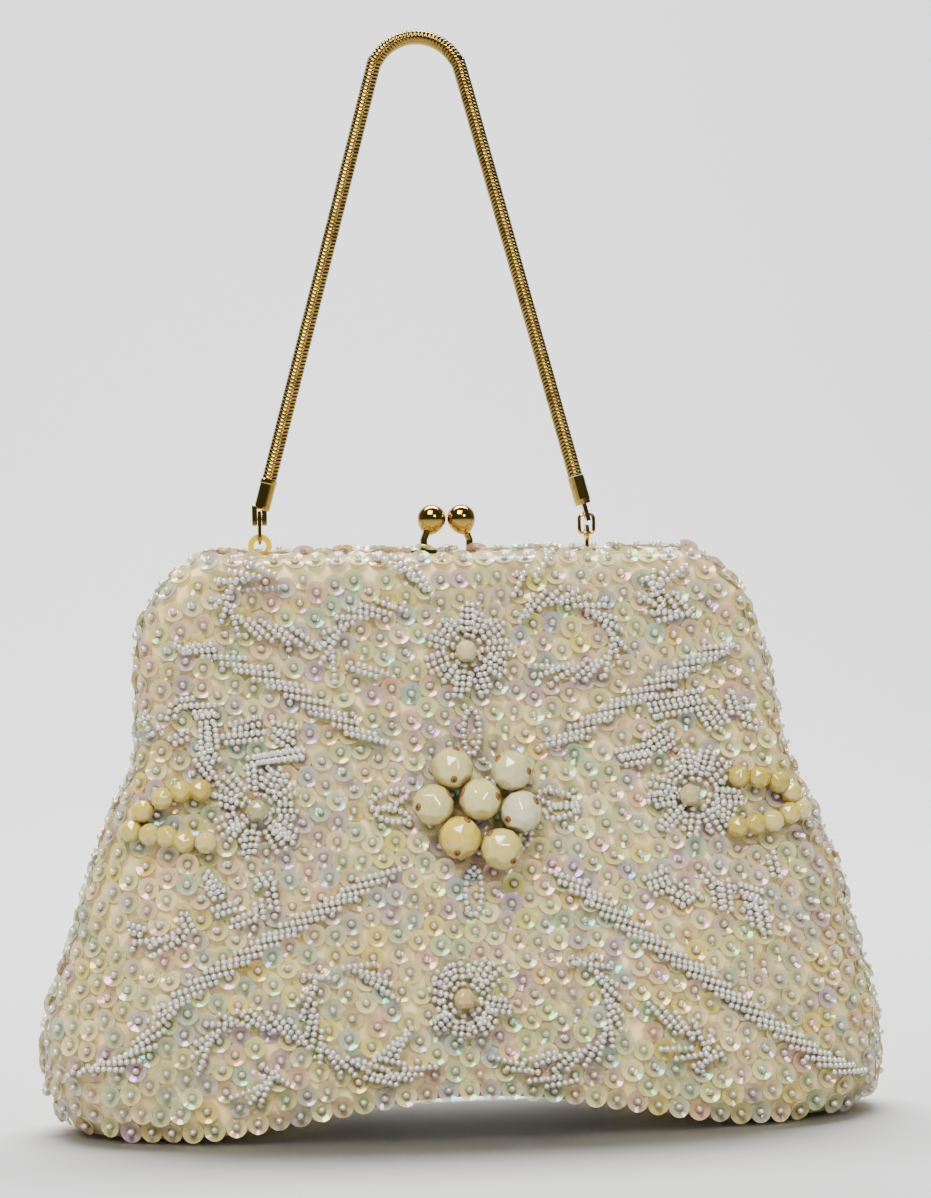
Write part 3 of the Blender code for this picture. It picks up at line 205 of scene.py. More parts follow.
class BeadSizes(bpy.types.PropertyGroup):
    """Sizes of what is sewn to the cloth."""
    sequin: FloatProperty(name="Sequin", description="Diameter of a sequin", unit="LENGTH", precision=5,
                          default=0.0059)
    sequin_pitch: FloatProperty(name="Sequin pitch", description="Least distance of two sequins",
                                unit="LENGTH", precision=5, default=0.0042)
    sequin_tilt: FloatProperty(name="Sequin tilt", description="Most that a sequin leans", subtype="ANGLE",
                               default=math.radians(17))
    seed: FloatProperty(name="Seed bead", description="Diameter of a seed bead", unit="LENGTH",
                        precision=5, default=0.00188)
    sequin_seed: FloatProperty(name="Sequin's bead", description="Diameter of the bead that holds a sequin",
                               unit="LENGTH", precision=5, default=0.002)
    seed_stand: FloatProperty(name="Couching height", description="Height of the couched beads on the cloth",
                              unit="LENGTH", precision=5, default=0.0013)
    seed_pitch: FloatProperty(name="Seed pitch", description="Pitch of seed beads on a thread",
                              unit="LENGTH", precision=5, default=0.00163)
    seed_number: IntProperty(name="Seed", description="Start of the random numbers", default=7)


class MetalSizes(bpy.types.PropertyGroup):
    """Sizes of the chain and clasp."""
    chain: FloatProperty(name="Chain", description="Diameter of the snake chain", unit="LENGTH",
                         precision=5, default=0.0041)
    scale_pitch: FloatProperty(name="Scale pitch", description="Pitch of the chain's scales", unit="LENGTH",
                               precision=5, default=0.001)
    ball: FloatProperty(name="Ball", description="Diameter of a clasp ball", unit="LENGTH", precision=5,
                        default=0.0078)


def colour_property(name, hex_value, note):
    return FloatVectorProperty(name=name, description=note, subtype="COLOR", size=4, min=0.0, max=1.0,
                               default=linear(hex_value))


def linear(hex_value):
    """An sRGB hex colour as linear red, green, blue and alpha."""
    parts = [int(hex_value[k:k + 2], 16) / 255 for k in (1, 3, 5)]
    return (*[p / 12.92 if p <= 0.04045 else ((p + 0.055) / 1.055) ** 2.4 for p in parts], 1.0)


class BagColours(bpy.types.PropertyGroup):
    """Colours of the materials."""
    satin: colour_property("Satin", "#FFEBB4", "Ivory satin under the beads")
    # The large beads' painted shade, laid on their lower sides towards the cloth
    satin_shade: colour_property("Satin shade", "#EBCF8C", "Yellowed satin in the folds")
    glass_painted_shade: colour_property("Glass depth", "#8F7136", "Where the large beads are seen edge-on")
    thread: colour_property("Thread", "#9A6A26", "Waxed thread in the beads' holes")
    # The left lug's yellow is painted light, brighter than the gilt for the glare its face catches
    lug: colour_property("Lug", "#F0CF1C", "Brushed gilding of the left lug")
    gilt: colour_property("Gilt", "#A98D42", "Gilding on brass")
    gilt_dark: colour_property("Worn gilt", "#4C3B18", "Gilding that has darkened")
    floor: colour_property("Floor", "#EDEDEE", "Paper of the stage")


class StageSettings(bpy.types.PropertyGroup):
    """Where the camera stands."""
    azimuth: FloatProperty(name="Azimuth", description="Turn of the view to the bag's right", subtype="ANGLE",
                           default=math.radians(-5.5))
    elevation: FloatProperty(name="Elevation", description="Height of the view", subtype="ANGLE",
                             default=math.radians(-0.5))
    roll: FloatProperty(name="Roll", description="Turn of the picture", subtype="ANGLE",
                        default=math.radians(-0.96))
    distance: FloatProperty(name="Distance", description="From the camera to the bag", unit="LENGTH",
                            default=0.7)
    focal_pixels: FloatProperty(name="Focal length", description="Focal length in pixels of the photograph",
                                default=2554.0)
    target: FloatVectorProperty(name="Target", description="Point in the middle of the picture",
                                subtype="XYZ", unit="LENGTH", default=(0.0019, 0.0, 0.1417))


def settings(name):
    return getattr(bpy.context.scene, name)


# What each kind of beadwork adds to the start of its random numbers; the sequins add their side too
SEED_WORK_DRAW = 1
STRANDS_DRAW = 3
SEQUINS_DRAW = 20


def random_source(offset):
    return numpy.random.RandomState(settings("bead_sizes").seed_number + offset)


# Places: the camera, pixels and the skin of the bag

def view_axes():
    """The camera's place, and the directions to its right, up and ahead."""
    stage = settings("stage_settings")
    azimuth, elevation = stage.azimuth, stage.elevation
    back = Vector((math.sin(azimuth) * math.cos(elevation), -math.cos(azimuth) * math.cos(elevation),
                   math.sin(elevation)))
    place = Vector(stage.target) + back * stage.distance
    level_right = (-back).cross(Vector((0, 0, 1))).normalized()
    level_up = level_right.cross(-back)
    right = level_right * math.cos(stage.roll) + level_up * math.sin(stage.roll)
    up = -level_right * math.sin(stage.roll) + level_up * math.cos(stage.roll)
    return place, right, up, -back


def pixel_ray(across, down):
    place, right, up, ahead = view_axes()
    focal = settings("stage_settings").focal_pixels
    step = ahead + right * ((across - IMAGE_WIDTH / 2) / focal) - up * ((down - IMAGE_HEIGHT / 2) / focal)
    return place, step.normalized()


def pixel_on_seam(across, down):
    """Where a pixel's ray meets the plane of the side seams."""
    place, step = pixel_ray(across, down)
    return place - step * (place.y / step.y)


class Skin:
    """The outside of the closed bag, as one surface that the cloth, lining and beads share."""

    # Rounding of the top and bottom edges, and of the ends at the frame and at the base
    TOP_EDGE_RADIUS = 0.005
    BOTTOM_EDGE_RADIUS = 0.003
    END_ROUND_AT_FRAME = 0.006
    END_ROUND_AT_BASE = 0.045
    # How soon the body swells below the hinges, and how much fuller it is in the middle
    SWELL_POWER = 1.4
    CROWN_SHARE = 0.12
    # The share of the way across that is flat, and of the way up that is below the rounded top edge
    FLAT_SHARE = 0.72
    SHOULDER_SHARE = 0.93
    # How steeply the top edge closes in
    TOP_EDGE_POWER = 0.25
    # What the sequins add to the outline, and the room left over the frame's arms
    SEQUIN_STAND = 0.0008
    ARM_CLEARANCE = 0.0003
    # The width depends on the height and the height on the width, so both are found in a few rounds
    ROUNDS = 4

    def __init__(self):
        self.sizes = settings("bag_sizes")
        self.edges = {-1: self.edge_table(LEFT_EDGE_PIXELS), 1: self.edge_table(RIGHT_EDGE_PIXELS)}

    def edge_table(self, pixels):
        """Heights and half widths of one side, nowhere so narrow that the frame would show."""
        places = sorted((pixel_on_seam(*pixel) for pixel in pixels), key=lambda p: p.z)
        arms = {}
        for vertex in NODES["front_frame"].data.vertices:
            height = round(vertex.co.z, 3)
            arms[height] = max(arms.get(height, 0.0), abs(vertex.co.x))
        heights = sorted(arms)
        reach = [arms[height] for height in heights]
        cover = self.sizes.cloth + self.sizes.beaded_inset + self.ARM_CLEARANCE
        widths = [max(abs(p.x) - self.SEQUIN_STAND,
                      float(numpy.interp(p.z, heights, reach, left=0.0)) + cover) for p in places]
        return [p.z for p in places], widths

    def half_width(self, z, side):
        heights, reach = self.edges[side]
        return float(numpy.interp(z, heights, reach))

    def swell(self, z):
        share = min(1.0, max(0.0, (HINGE.z - z) / HINGE.z))
        return 1 - (1 - share) ** self.SWELL_POWER

    def end_round(self, z):
        return self.END_ROUND_AT_FRAME + (self.END_ROUND_AT_BASE - self.END_ROUND_AT_FRAME) * self.swell(z)

    def rise(self, x):
        reach = min(1.0, abs(x) / self.sizes.arch_half_span)
        return self.sizes.arch_rise * (1 - reach ** 2) ** 2

    def drop(self, into, radius):
        into = min(max(into, 0.0), radius)
        return radius - math.sqrt(radius ** 2 - into ** 2)

    def half_depth(self, share, z, rise):
        sizes = self.sizes
        above = max(0.0, (z - HINGE.z) / (sizes.top - HINGE.z))
        depth = sizes.hinge_half_depth + (sizes.top_half_depth - sizes.hinge_half_depth) * above
        depth += (sizes.base_half_depth - sizes.hinge_half_depth) * self.swell(z)
        depth -= self.drop(rise + self.BOTTOM_EDGE_RADIUS - z, self.BOTTOM_EDGE_RADIUS)
        return depth * (1 + self.CROWN_SHARE * (1 - share ** 2))

    def place(self, across, up, side, inset=0.0, foot=0.0, head=0.0):
        """A point of the skin: across runs from -1 to 1 between the seams, up from 0 at the bottom to 1."""
        hand = -1 if across < 0 else 1
        share = abs(across)
        top = self.sizes.top - head
        radius = self.TOP_EDGE_RADIUS
        shoulder = self.SHOULDER_SHARE
        x = share * self.half_width(HINGE.z, hand)
        for _ in range(self.ROUNDS):
            rise = self.rise(x) + foot
            if up <= shoulder:
                z = rise + (top - radius - rise) * up / shoulder
                turn = 0.0
            else:
                turn = (up - shoulder) / (1 - shoulder) * math.pi / 2
                z = top - radius + radius * math.sin(turn)
            wide = self.half_width(z, hand) - inset
            end = min(self.end_round(z), wide / 2)
            if share <= self.FLAT_SHARE:
                angle = 0.0
                x = (wide - end) * share / self.FLAT_SHARE
            else:
                angle = (share - self.FLAT_SHARE) / (1 - self.FLAT_SHARE) * math.pi / 2
                x = wide - end + end * math.sin(angle)
        depth = self.half_depth(x / wide, z, rise - foot) - inset - radius * (1 - math.cos(turn))
        if turn > 0.0:
            depth *= math.cos(turn) ** self.TOP_EDGE_POWER
        return Vector((hand * x, side * depth * math.cos(angle), z))


# Modelling helpers

def clear_selection():
    bpy.ops.object.select_all(action="DESELECT")


def only(obj):
    """Selects one object alone and makes it active."""
    clear_selection()
    obj.select_set(True)
    bpy.context.view_layer.objects.active = obj


def named(name):
    obj = bpy.context.active_object
    obj.name = name
    obj.data.name = name
    return obj


def joined(pieces, name):
    """Joins several objects into the first of them, under a new name."""
    clear_selection()
    for piece in pieces:
        piece.select_set(True)
    bpy.context.view_layer.objects.active = pieces[0]
    bpy.ops.object.join()
    return named(name)


def apply_modifier(obj, kind, **values):
    only(obj)
    modifier = obj.modifiers.new(kind, kind)
    for key, value in values.items():
        setattr(modifier, key, value)
    bpy.ops.object.modifier_apply(modifier=modifier.name)


def settle_place(obj):
    only(obj)
    bpy.ops.object.transform_apply(location=True, rotation=True, scale=True)


def move_mesh(obj, matrix):
    obj.data.transform(matrix)
    obj.data.update()


def dress(obj, material, slot, body=None, *nodes):
    """Gives a new piece its material and the body it rides on, and hides the nodes it stands for; slot is not
    used.
    """
    obj.data.materials.clear()
    obj.data.materials.append(material)
    if body:
        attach(obj, body)
    if nodes:
        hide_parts(*nodes)


def cloth_sheet(name, across_count, up_count, place):
    """A grid whose points are laid on a surface by their shares across and up it."""
    clear_selection()
    bpy.ops.mesh.primitive_grid_add(x_subdivisions=across_count, y_subdivisions=up_count, size=2,
                                    calc_uvs=True, location=(0, 0, 0))
    sheet = named(name)
    for vertex in sheet.data.vertices:
        vertex.co = place(vertex.co.x, (vertex.co.y + 1) / 2)
    return sheet


# The rows along which a cut is measured, each way
CUT_STEPS = 48


def declare_cut(place, rests_on):
    """Measures a sheet's cut before it gets its thickness, as wide and long as its longest rows; the sizes
    are not kept.
    """
    shares = [k / CUT_STEPS for k in range(CUT_STEPS + 1)]
    rows = [[place(2 * across - 1, up) for across in shares] for up in shares]
    width, length = (max(sum((b - a).length for a, b in zip(line, line[1:])) for line in lines)
                     for lines in (rows, list(zip(*rows))))
    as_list(rests_on)


def turn_outwards(obj, inside):
    """Flips the faces where they look towards the inside point."""
    work = bmesh.new()
    work.from_mesh(obj.data)
    facing = sum((face.calc_center_median() - inside).dot(face.normal) * face.calc_area()
                 for face in work.faces)
    if facing < 0:
        bmesh.ops.reverse_faces(work, faces=work.faces)
    work.to_mesh(obj.data)
    work.free()


def surface_of(obj):
    """A tree of an object's faces, and its smooth normals by face corner."""
    mesh = obj.data
    mesh.calc_loop_triangles()
    places = numpy.array([vertex.co for vertex in mesh.vertices])
    normals = numpy.array([vertex.normal for vertex in mesh.vertices])
    corners = numpy.array([triangle.vertices for triangle in mesh.loop_triangles])
    tree = BVHTree.FromPolygons([Vector(p) for p in places], [tuple(map(int, c)) for c in corners])
    return {"places": places, "normals": normals, "corners": corners, "tree": tree}


def smooth_hit(surface, origin, step):
    """Where a ray meets a surface, with the normal blended from the corners of the face."""
    place, _, index, _ = surface["tree"].ray_cast(origin, step)
    if place is None:
        beside = origin - step * (origin.y / step.y)
        place, _, index, _ = surface["tree"].find_nearest(beside)
    return place, smooth_normal(surface, place, index)


def smooth_nearest(surface, point):
    place, _, index, _ = surface["tree"].find_nearest(point)
    return place, smooth_normal(surface, place, index)


def smooth_normal(surface, place, index):
    corners = surface["corners"][index]
    weights = [1 / ((Vector(surface["places"][c]) - place).length + NEAR_ZERO) for c in corners]
    total = sum((Vector(surface["normals"][c]) * w for c, w in zip(corners, weights)), Vector())
    return total.normalized()


def spread(name, unit, frames, tints, smooth, weights=None):
    """One mesh of many copies of a small shape; each keeps a tint, on which weights paint light and shade
    point by point.
    """
    places = numpy.array([vertex.co for vertex in unit.data.vertices])
    faces = [tuple(face.vertices) for face in unit.data.polygons]
    turned = numpy.array([numpy.array(f.to_3x3()) for f in frames])
    shifts = numpy.array([f.translation for f in frames])
    every = numpy.einsum("nij,mj->nmi", turned, places) + shifts[:, None, :]
    count = len(places)
    mesh = bpy.data.meshes.new(name)
    mesh.from_pydata(every.reshape(-1, 3).tolist(), [],
                     [tuple(v + k * count for v in face) for k in range(len(frames)) for face in faces])
    if smooth:
        mesh.shade_smooth()
    shades = mesh.attributes.new("tint", "FLOAT_COLOR", "POINT")
    shade = numpy.repeat(numpy.array(tints, dtype=numpy.float32)[:, None, :], count, axis=1)
    # The weights paint light and shade into each copy's tint
    if weights is not None:
        shade[:, :, :3] = numpy.clip(shade[:, :, :3] * numpy.array(weights)[None, :, None], 0, 1)
    shades.data.foreach_set("color", shade.ravel())
    obj = bpy.data.objects.new(name, mesh)
    bpy.context.collection.objects.link(obj)
    return obj


def facing_frame(place, normal, along=None, spin=0.0, scale=1.0):
    """A matrix whose Z axis is the normal, and whose X axis is near along."""
    along = along or Vector((1, 0, 0))
    along = (along - normal * along.dot(normal))
    if along.length < NEAR_ZERO:
        along = normal.orthogonal()
    along.normalize()
    turned = Matrix((along, normal.cross(along), normal)).transposed()
    turned = turned @ Matrix.Rotation(spin, 3, "Z") * scale
    return Matrix.Translation(place) @ turned.to_4x4()


CURVE_STEPS = 12


def curve_points(points, count):
    """Evenly spaced points on a smooth curve through given ones, and the curve's length."""
    ends = [points[0]] + list(points) + [points[-1]]
    dense = []
    for k in range(1, len(ends) - 2):
        before, start, stop, after = (Vector(p) for p in ends[k - 1:k + 3])
        for j in range(CURVE_STEPS):
            t = j / CURVE_STEPS
            dense.append((2 * start + (stop - before) * t
                          + (2 * before - 5 * start + 4 * stop - after) * t ** 2
                          + (3 * start - before - 3 * stop + after) * t ** 3) / 2)
    dense.append(Vector(points[-1]))
    lengths = numpy.cumsum([0.0] + [(b - a).length for a, b in zip(dense, dense[1:])])
    wanted = numpy.linspace(0, lengths[-1], count)
    columns = [numpy.interp(wanted, lengths, [p[axis] for p in dense]) for axis in range(len(dense[0]))]
    return [Vector(values) for values in zip(*columns)], float(lengths[-1])


# Materials

def add_node(tree, kind, values=None, links=None, **options):
    """Adds a node with its options, the values of its sockets and the links into it."""
    made = tree.nodes.new(kind)
    for key, value in options.items():
        setattr(made, key, value)
    for socket, value in (values or {}).items():
        made.inputs[socket].default_value = value
    for socket, source in (links or {}).items():
        tree.links.new(source, made.inputs[socket])
    return made


def new_material(name):
    made = bpy.data.materials.new(name)
    made.use_nodes = True
    made.node_tree.nodes.clear()
    return made, made.node_tree


def finish_material(tree, values, links=None):
    shader = add_node(tree, "ShaderNodeBsdfPrincipled", values, links)
    add_node(tree, "ShaderNodeOutputMaterial", links={"Surface": shader.outputs["BSDF"]})


def pattern_scale(millimetres):
    """The scale of a texture whose patches are this wide."""
    return 1 / (millimetres * MILLIMETRE)


# Blender's wave texture turns through this many radians for each unit of its scale
WAVE_TURNS = 20


def woven_satin(name, light, shade, thread):
    """Silk satin, woven: long floats give a soft sheen and faint lines, coarser than real threads."""
    made, tree = new_material(name)
    where = add_node(tree, "ShaderNodeTexCoord").outputs["Object"]
    cloud = add_node(tree, "ShaderNodeTexNoise", {"Scale": pattern_scale(11.11), "Detail": 3.0},
                     {"Vector": where})
    ramp = add_node(tree, "ShaderNodeMapRange", {"From Min": 0.35, "From Max": 0.7},
                    {"Value": cloud.outputs["Fac"]})
    mixed = add_node(tree, "ShaderNodeMix", {"A": shade, "B": light}, {"Factor": ramp.outputs["Result"]},
                     data_type="RGBA")
    floats = add_node(tree, "ShaderNodeTexWave",
                      {"Scale": 1 / thread / WAVE_TURNS, "Distortion": 1.5, "Detail": 1.0},
                      {"Vector": where}, wave_type="BANDS", bands_direction="DIAGONAL")
    bump = add_node(tree, "ShaderNodeBump", {"Strength": 0.35, "Distance": thread / 3},
                    {"Height": floats.outputs["Fac"]})
    finish_material(tree, {"Roughness": 0.34, "Sheen Weight": 0.35, "Sheen Roughness": 0.4, "IOR": 1.55},
                    {"Base Color": mixed.outputs["Result"], "Normal": bump.outputs["Normal"]})
    return made


def pressed_sequin(name):
    """Clear acetate sequin, pressed into facets and coated: a see-through disc with a coloured gloss."""
    made, tree = new_material(name)
    # The tint carries painted light and shade as well as the sequin's own colour
    tint = add_node(tree, "ShaderNodeAttribute", attribute_name="tint")
    film = add_node(tree, "ShaderNodeMapRange", {"To Min": 230.0, "To Max": 560.0},
                    {"Value": tint.outputs["Alpha"]})
    finish_material(tree, {"Roughness": 0.09, "IOR": 1.5, "Alpha": 0.8, "Thin Film IOR": 1.85},
                    {"Base Color": tint.outputs["Color"], "Thin Film Thickness": film.outputs["Result"]})
    return made


def lustred_seed(name, roughness, alpha):
    """Seed bead, cut from drawn glass tube and lustred: a milky body under a clear shine."""
    made, tree = new_material(name)
    tint = add_node(tree, "ShaderNodeAttribute", attribute_name="tint")
    finish_material(tree, {"Roughness": roughness, "IOR": 1.6, "Alpha": alpha, "Coat Weight": 1.0,
                           "Coat Roughness": 0.13, "Coat IOR": 3.2},
                    {"Base Color": tint.outputs["Color"]})
    return made


def cut_glass(name):
    """Ivory opal glass, moulded and fire-polished into facets, with a rainbow coat."""
    made, tree = new_material(name)
    # The tint is the glass's own colour with painted shade towards the cloth
    tint = add_node(tree, "ShaderNodeAttribute", attribute_name="tint")
    where = add_node(tree, "ShaderNodeTexCoord").outputs["Object"]
    cloud = add_node(tree, "ShaderNodeTexNoise", {"Scale": pattern_scale(3.846), "Detail": 2.0},
                     {"Vector": where})
    lift = add_node(tree, "ShaderNodeMapRange", {"To Min": 0.88, "To Max": 1.08},
                    {"Value": cloud.outputs["Fac"]})
    mixed = add_node(tree, "ShaderNodeVectorMath", {}, {0: tint.outputs["Color"], 1: lift.outputs["Result"]},
                     operation="MULTIPLY")
    coat = add_node(tree, "ShaderNodeTexNoise", {"Scale": pattern_scale(2.381), "Detail": 0.0},
                    {"Vector": where})
    film = add_node(tree, "ShaderNodeMapRange",
                    {"From Min": 0.3, "From Max": 0.7, "To Min": 180.0, "To Max": 620.0},
                    {"Value": coat.outputs["Fac"]})
    finish_material(tree, {"Roughness": 0.06, "IOR": 1.54, "Subsurface Weight": 0.25,
                           "Subsurface Scale": 1.5 * MILLIMETRE, "Subsurface Radius": (1.0, 0.85, 0.5),
                           "Thin Film IOR": 1.8},
                    {"Base Color": mixed.outputs["Vector"], "Thin Film Thickness": film.outputs["Result"]})
    return made


def gilt_metal(name, light, dark, roughness, wear):
    """Metal, plated and polished: a bright mirror, browner and duller where the plating has darkened."""
    made, tree = new_material(name)
    where = add_node(tree, "ShaderNodeTexCoord").outputs["Object"]
    cloud = add_node(tree, "ShaderNodeTexNoise", {"Scale": pattern_scale(3.125), "Detail": 4.0},
                     {"Vector": where})
    patch = add_node(tree, "ShaderNodeMapRange", {"From Min": 0.62 - wear, "From Max": 0.78},
                     {"Value": cloud.outputs["Fac"]})
    mixed = add_node(tree, "ShaderNodeMix", {"A": light, "B": dark}, {"Factor": patch.outputs["Result"]},
                     data_type="RGBA")
    rough = add_node(tree, "ShaderNodeMapRange", {"To Min": roughness, "To Max": roughness + 0.2},
                     {"Value": patch.outputs["Result"]})
    finish_material(tree, {"Metallic": 1.0},
                    {"Base Color": mixed.outputs["Result"], "Roughness": rough.outputs["Result"]})
    return made


def matt_stuff(name, light, dark, fleck, roughness):
    """Fibres, felted, waxed or pressed: matt, with small uneven flecks of a given width in millimetres."""
    made, tree = new_material(name)
    where = add_node(tree, "ShaderNodeTexCoord").outputs["Object"]
    cloud = add_node(tree, "ShaderNodeTexNoise", {"Scale": pattern_scale(fleck), "Detail": 6.0},
                     {"Vector": where})
    mixed = add_node(tree, "ShaderNodeMix", {"A": dark, "B": light}, {"Factor": cloud.outputs["Fac"]},
                     data_type="RGBA")
    bump = add_node(tree, "ShaderNodeBump", {"Strength": 0.4, "Distance": 0.3 * MILLIMETRE},
                    {"Height": cloud.outputs["Fac"]})
    finish_material(tree, {"Roughness": roughness},
                    {"Base Color": mixed.outputs["Result"], "Normal": bump.outputs["Normal"]})
    return made


MADE = {}


def material(name):
    """A material by name, made when it is first asked for."""
    colours = settings("bag_colours")
    recipes = {
        "silk_satin_woven": (woven_satin, colours.satin, colours.satin_shade, 0.4 * MILLIMETRE),
        "lining_satin_woven": (woven_satin, linear("#EDE4C8"), linear("#D9CBA4"), 0.3 * MILLIMETRE),
        "acetate_sequin_pressed": (pressed_sequin,),
        "lustred_seed_glass": (lustred_seed, 0.22, 1.0),
        # Hardly milky, so that the sequin's hole shows through it
        "clear_seed_glass": (lustred_seed, 0.1, 0.72),
        "opal_glass_faceted": (cut_glass,),
        "brass_gilt_polished": (gilt_metal, colours.gilt, colours.gilt_dark, 0.1, 0.0),
        # The chain's gilt is a darker copy of the polished gilt, painted shade for the dark it reflects, and
        # is darker and duller in more patches
        "brass_gilt_chain": (gilt_metal, linear("#93793A"), colours.gilt_dark, 0.12, 0.16),
        # The left lug is rougher than the polished pieces; its brighter, clearer yellow is painted light for
        # the glare its face catches
        "brass_gilt_brushed": (gilt_metal, colours.lug, colours.gilt, 0.5, -0.1),
        # Waxed thread is brown and matt; the dark spot in each hole is painted shade
        "silk_thread_waxed": (matt_stuff, colours.thread, linear("#5A3410"), 0.6667, 0.6),
        "wax_soot_in_hole": (matt_stuff, linear("#4A2C10"), linear("#241608"), 0.4, 0.7),
        # The frame's plated steel is paler and less sharp in its gloss than gilt brass
        "steel_strip_plated": (gilt_metal, linear("#C9B27A"), linear("#8F8058"), 0.3, 0.1),
        "cotton_wadding_felted": (matt_stuff, linear("#F1EFE8"), linear("#DAD6C8"), 1.111, 0.95),
        "grey_board_pressed": (matt_stuff, linear("#A09A8C"), linear("#7F796C"), 0.7143, 0.9),
    }
    if name not in MADE:
        kind, *values = recipes[name]
        MADE[name] = kind(name, *values)
    return MADE[name]


# Cloth and lining

# What lies inside the outer cloth: inset from the skin, thickness, material and slot
LAYERS = (
    ("interlining", 0.0022, 0.0005, "cotton_wadding_felted", "cotton_interlining"),
    ("lining", 0.0028, 0.0004, "lining_satin_woven", "satin_lining"),
)
# How far below the cloth's top the layers end
LAYER_HEAD = 0.009
# The bottom's sheets: height over the arch's foot, inset, thickness, material, slot and node
BASE_SHEETS = (
    ("base_cloth", 0.0004, 0.0024, 0.0008, "silk_satin_woven", "beaded_satin", "base_panel"),
    ("base_lining_cloth", 0.0034, 0.0042, 0.0005, "lining_satin_woven", "satin_lining", "base_lining"),
)
CLOTH_COLUMNS = 72
CLOTH_ROWS = 56
BASE_ROWS = 12
# How many wide and narrow puffs go to a metre, and the narrow ones' height as a share of the wide ones'
WIDE_PUFFS = 70
NARROW_PUFFS = 190
NARROW_PUFF_SHARE = 0.4
# The puffs die out towards the seams, and stop short of the bottom edge and of the frame
CALM_POWER = 6
PUFFS_FROM = 0.04
PUFFS_TO = 0.9


def blend_over_hinge(piece):
    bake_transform(piece)


def puffed(place, amount):
    """Moves a point in or out of the cloth by the wadding's unevenness."""
    lift = noise.noise(place * WIDE_PUFFS) * amount
    lift += noise.noise(place * NARROW_PUFFS) * amount * NARROW_PUFF_SHARE
    return Vector((place.x, place.y + math.copysign(lift, place.y), place.z))


def lofted_half(name, side, inset, foot, head, thickness, puff, rests_on):
    """One half of a layer of the bag, from seam to seam and from the bottom edge to the frame."""
    skin = Skin()

    def place(across, up):
        point = skin.place(across, up, side, inset, foot, head)
        calm = 1 - abs(across) ** CALM_POWER
        return puffed(point, puff * calm) if PUFFS_FROM < up < PUFFS_TO else point

    half = cloth_sheet(name, CLOTH_COLUMNS, CLOTH_ROWS, place)
    declare_cut(place, rests_on)
    turn_outwards(half, Vector((0, 0, HINGE.z)))
    apply_modifier(half, "SOLIDIFY", thickness=thickness, offset=-1.0)
    half.data.shade_smooth()
    return half


def make_cloth():
    """The outer satin's two halves."""
    sizes = settings("bag_sizes")
    satin = material("silk_satin_woven")
    cut = (sizes.beaded_inset, sizes.foot_lift, sizes.top_inset, sizes.cloth, sizes.puff)
    front = lofted_half("front_cloth", -1, *cut, ["front_interlining_cloth", "front_frame"])
    dress(front, satin, "beaded_satin", "bag", "front_panel")
    back = lofted_half("back_cloth", 1, *cut, ["back_interlining_cloth", "rear_frame"])
    dress(back, satin, "beaded_satin", None, "back_panel_lower", "back_panel_fold", "back_panel_upper")
    blend_over_hinge(back)


def make_base():
    """The bottom between the two halves, which follows their arch."""
    skin = Skin()
    foot = settings("bag_sizes").foot_lift
    for name, lift, inset, thickness, finish, slot, node in BASE_SHEETS:
        def place(across, up):
            edge = skin.place(across, 0.0, 1, inset)
            return Vector((edge.x, edge.y * (2 * up - 1), skin.rise(edge.x) + foot + lift))

        sheet = cloth_sheet(name, CLOTH_COLUMNS, BASE_ROWS, place)
        declare_cut(place, ["base_stiffener"])
        apply_modifier(sheet, "SOLIDIFY", thickness=thickness, offset=1.0)
        dress(sheet, material(finish), slot, "bag", node)
        sheet.data.shade_smooth()


def make_layers():
    """The wadding and the lining, each in a front and a back half."""
    for name, inset, thickness, finish, slot in LAYERS:
        cut = (inset, inset, LAYER_HEAD, thickness, 0.0)
        front = lofted_half(f"front_{name}_cloth", -1, *cut, ["front_frame"])
        dress(front, material(finish), slot, "bag", f"{name}_cup", f"front_{name}_facing")
        back = lofted_half(f"back_{name}_cloth", 1, *cut, ["rear_frame"])
        dress(back, material(finish), slot, None, f"back_{name}_facing")
        blend_over_hinge(back)


# The pocket's rows and columns, thickness, and how far its top gapes
POCKET_GRID = 24
POCKET_CLOTH = 0.0005
POCKET_GAPE = 0.0009
POCKET_GAPE_POWER = 6


def make_pocket():
    """A flat pocket on the front lining, open at its top."""
    low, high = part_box("inner_pocket")
    surface = surface_of(bpy.data.objects["front_lining_cloth"])

    def place(across, up):
        target = Vector((across * high.x, 0, low.z + (high.z - low.z) * up))
        hit, _ = smooth_hit(surface, target, Vector((0, -1, 0)))
        gape = POCKET_GAPE * up ** POCKET_GAPE_POWER * (1 - across ** 2)
        return hit + Vector((0, POCKET_CLOTH + gape, 0))

    pocket = cloth_sheet("lining_pocket", POCKET_GRID, POCKET_GRID, place)
    declare_cut(place, ["front_lining_cloth"])
    # The pocket's face looks into the bag, away from a point in front of it
    turn_outwards(pocket, Vector((0, -0.1, HINGE.z)))
    apply_modifier(pocket, "SOLIDIFY", thickness=POCKET_CLOTH, offset=1.0)
    pocket.data.shade_smooth()
    dress(pocket, material("lining_satin_woven"), "satin_lining", "bag", "inner_pocket")


# Small shapes that repeat

# A seed bead's sides and rings, and its length as a share of its width
SEED_SIDES = 8
SEED_RINGS = 6
SEED_LENGTH_SHARE = 0.84


def seed_unit(size):
    """A seed bead: a short round ring, its thread along X."""
    clear_selection()
    bpy.ops.mesh.primitive_uv_sphere_add(segments=SEED_SIDES, ring_count=SEED_RINGS, radius=size / 2,
                                         location=(0, 0, 0), rotation=(0, math.pi / 2, 0))
    unit = named("seed_unit")
    settle_place(unit)
    unit.data.transform(Matrix.Diagonal((SEED_LENGTH_SHARE, 1.0, 1.0, 1.0)))
    return unit


SEQUIN_FACETS = 10
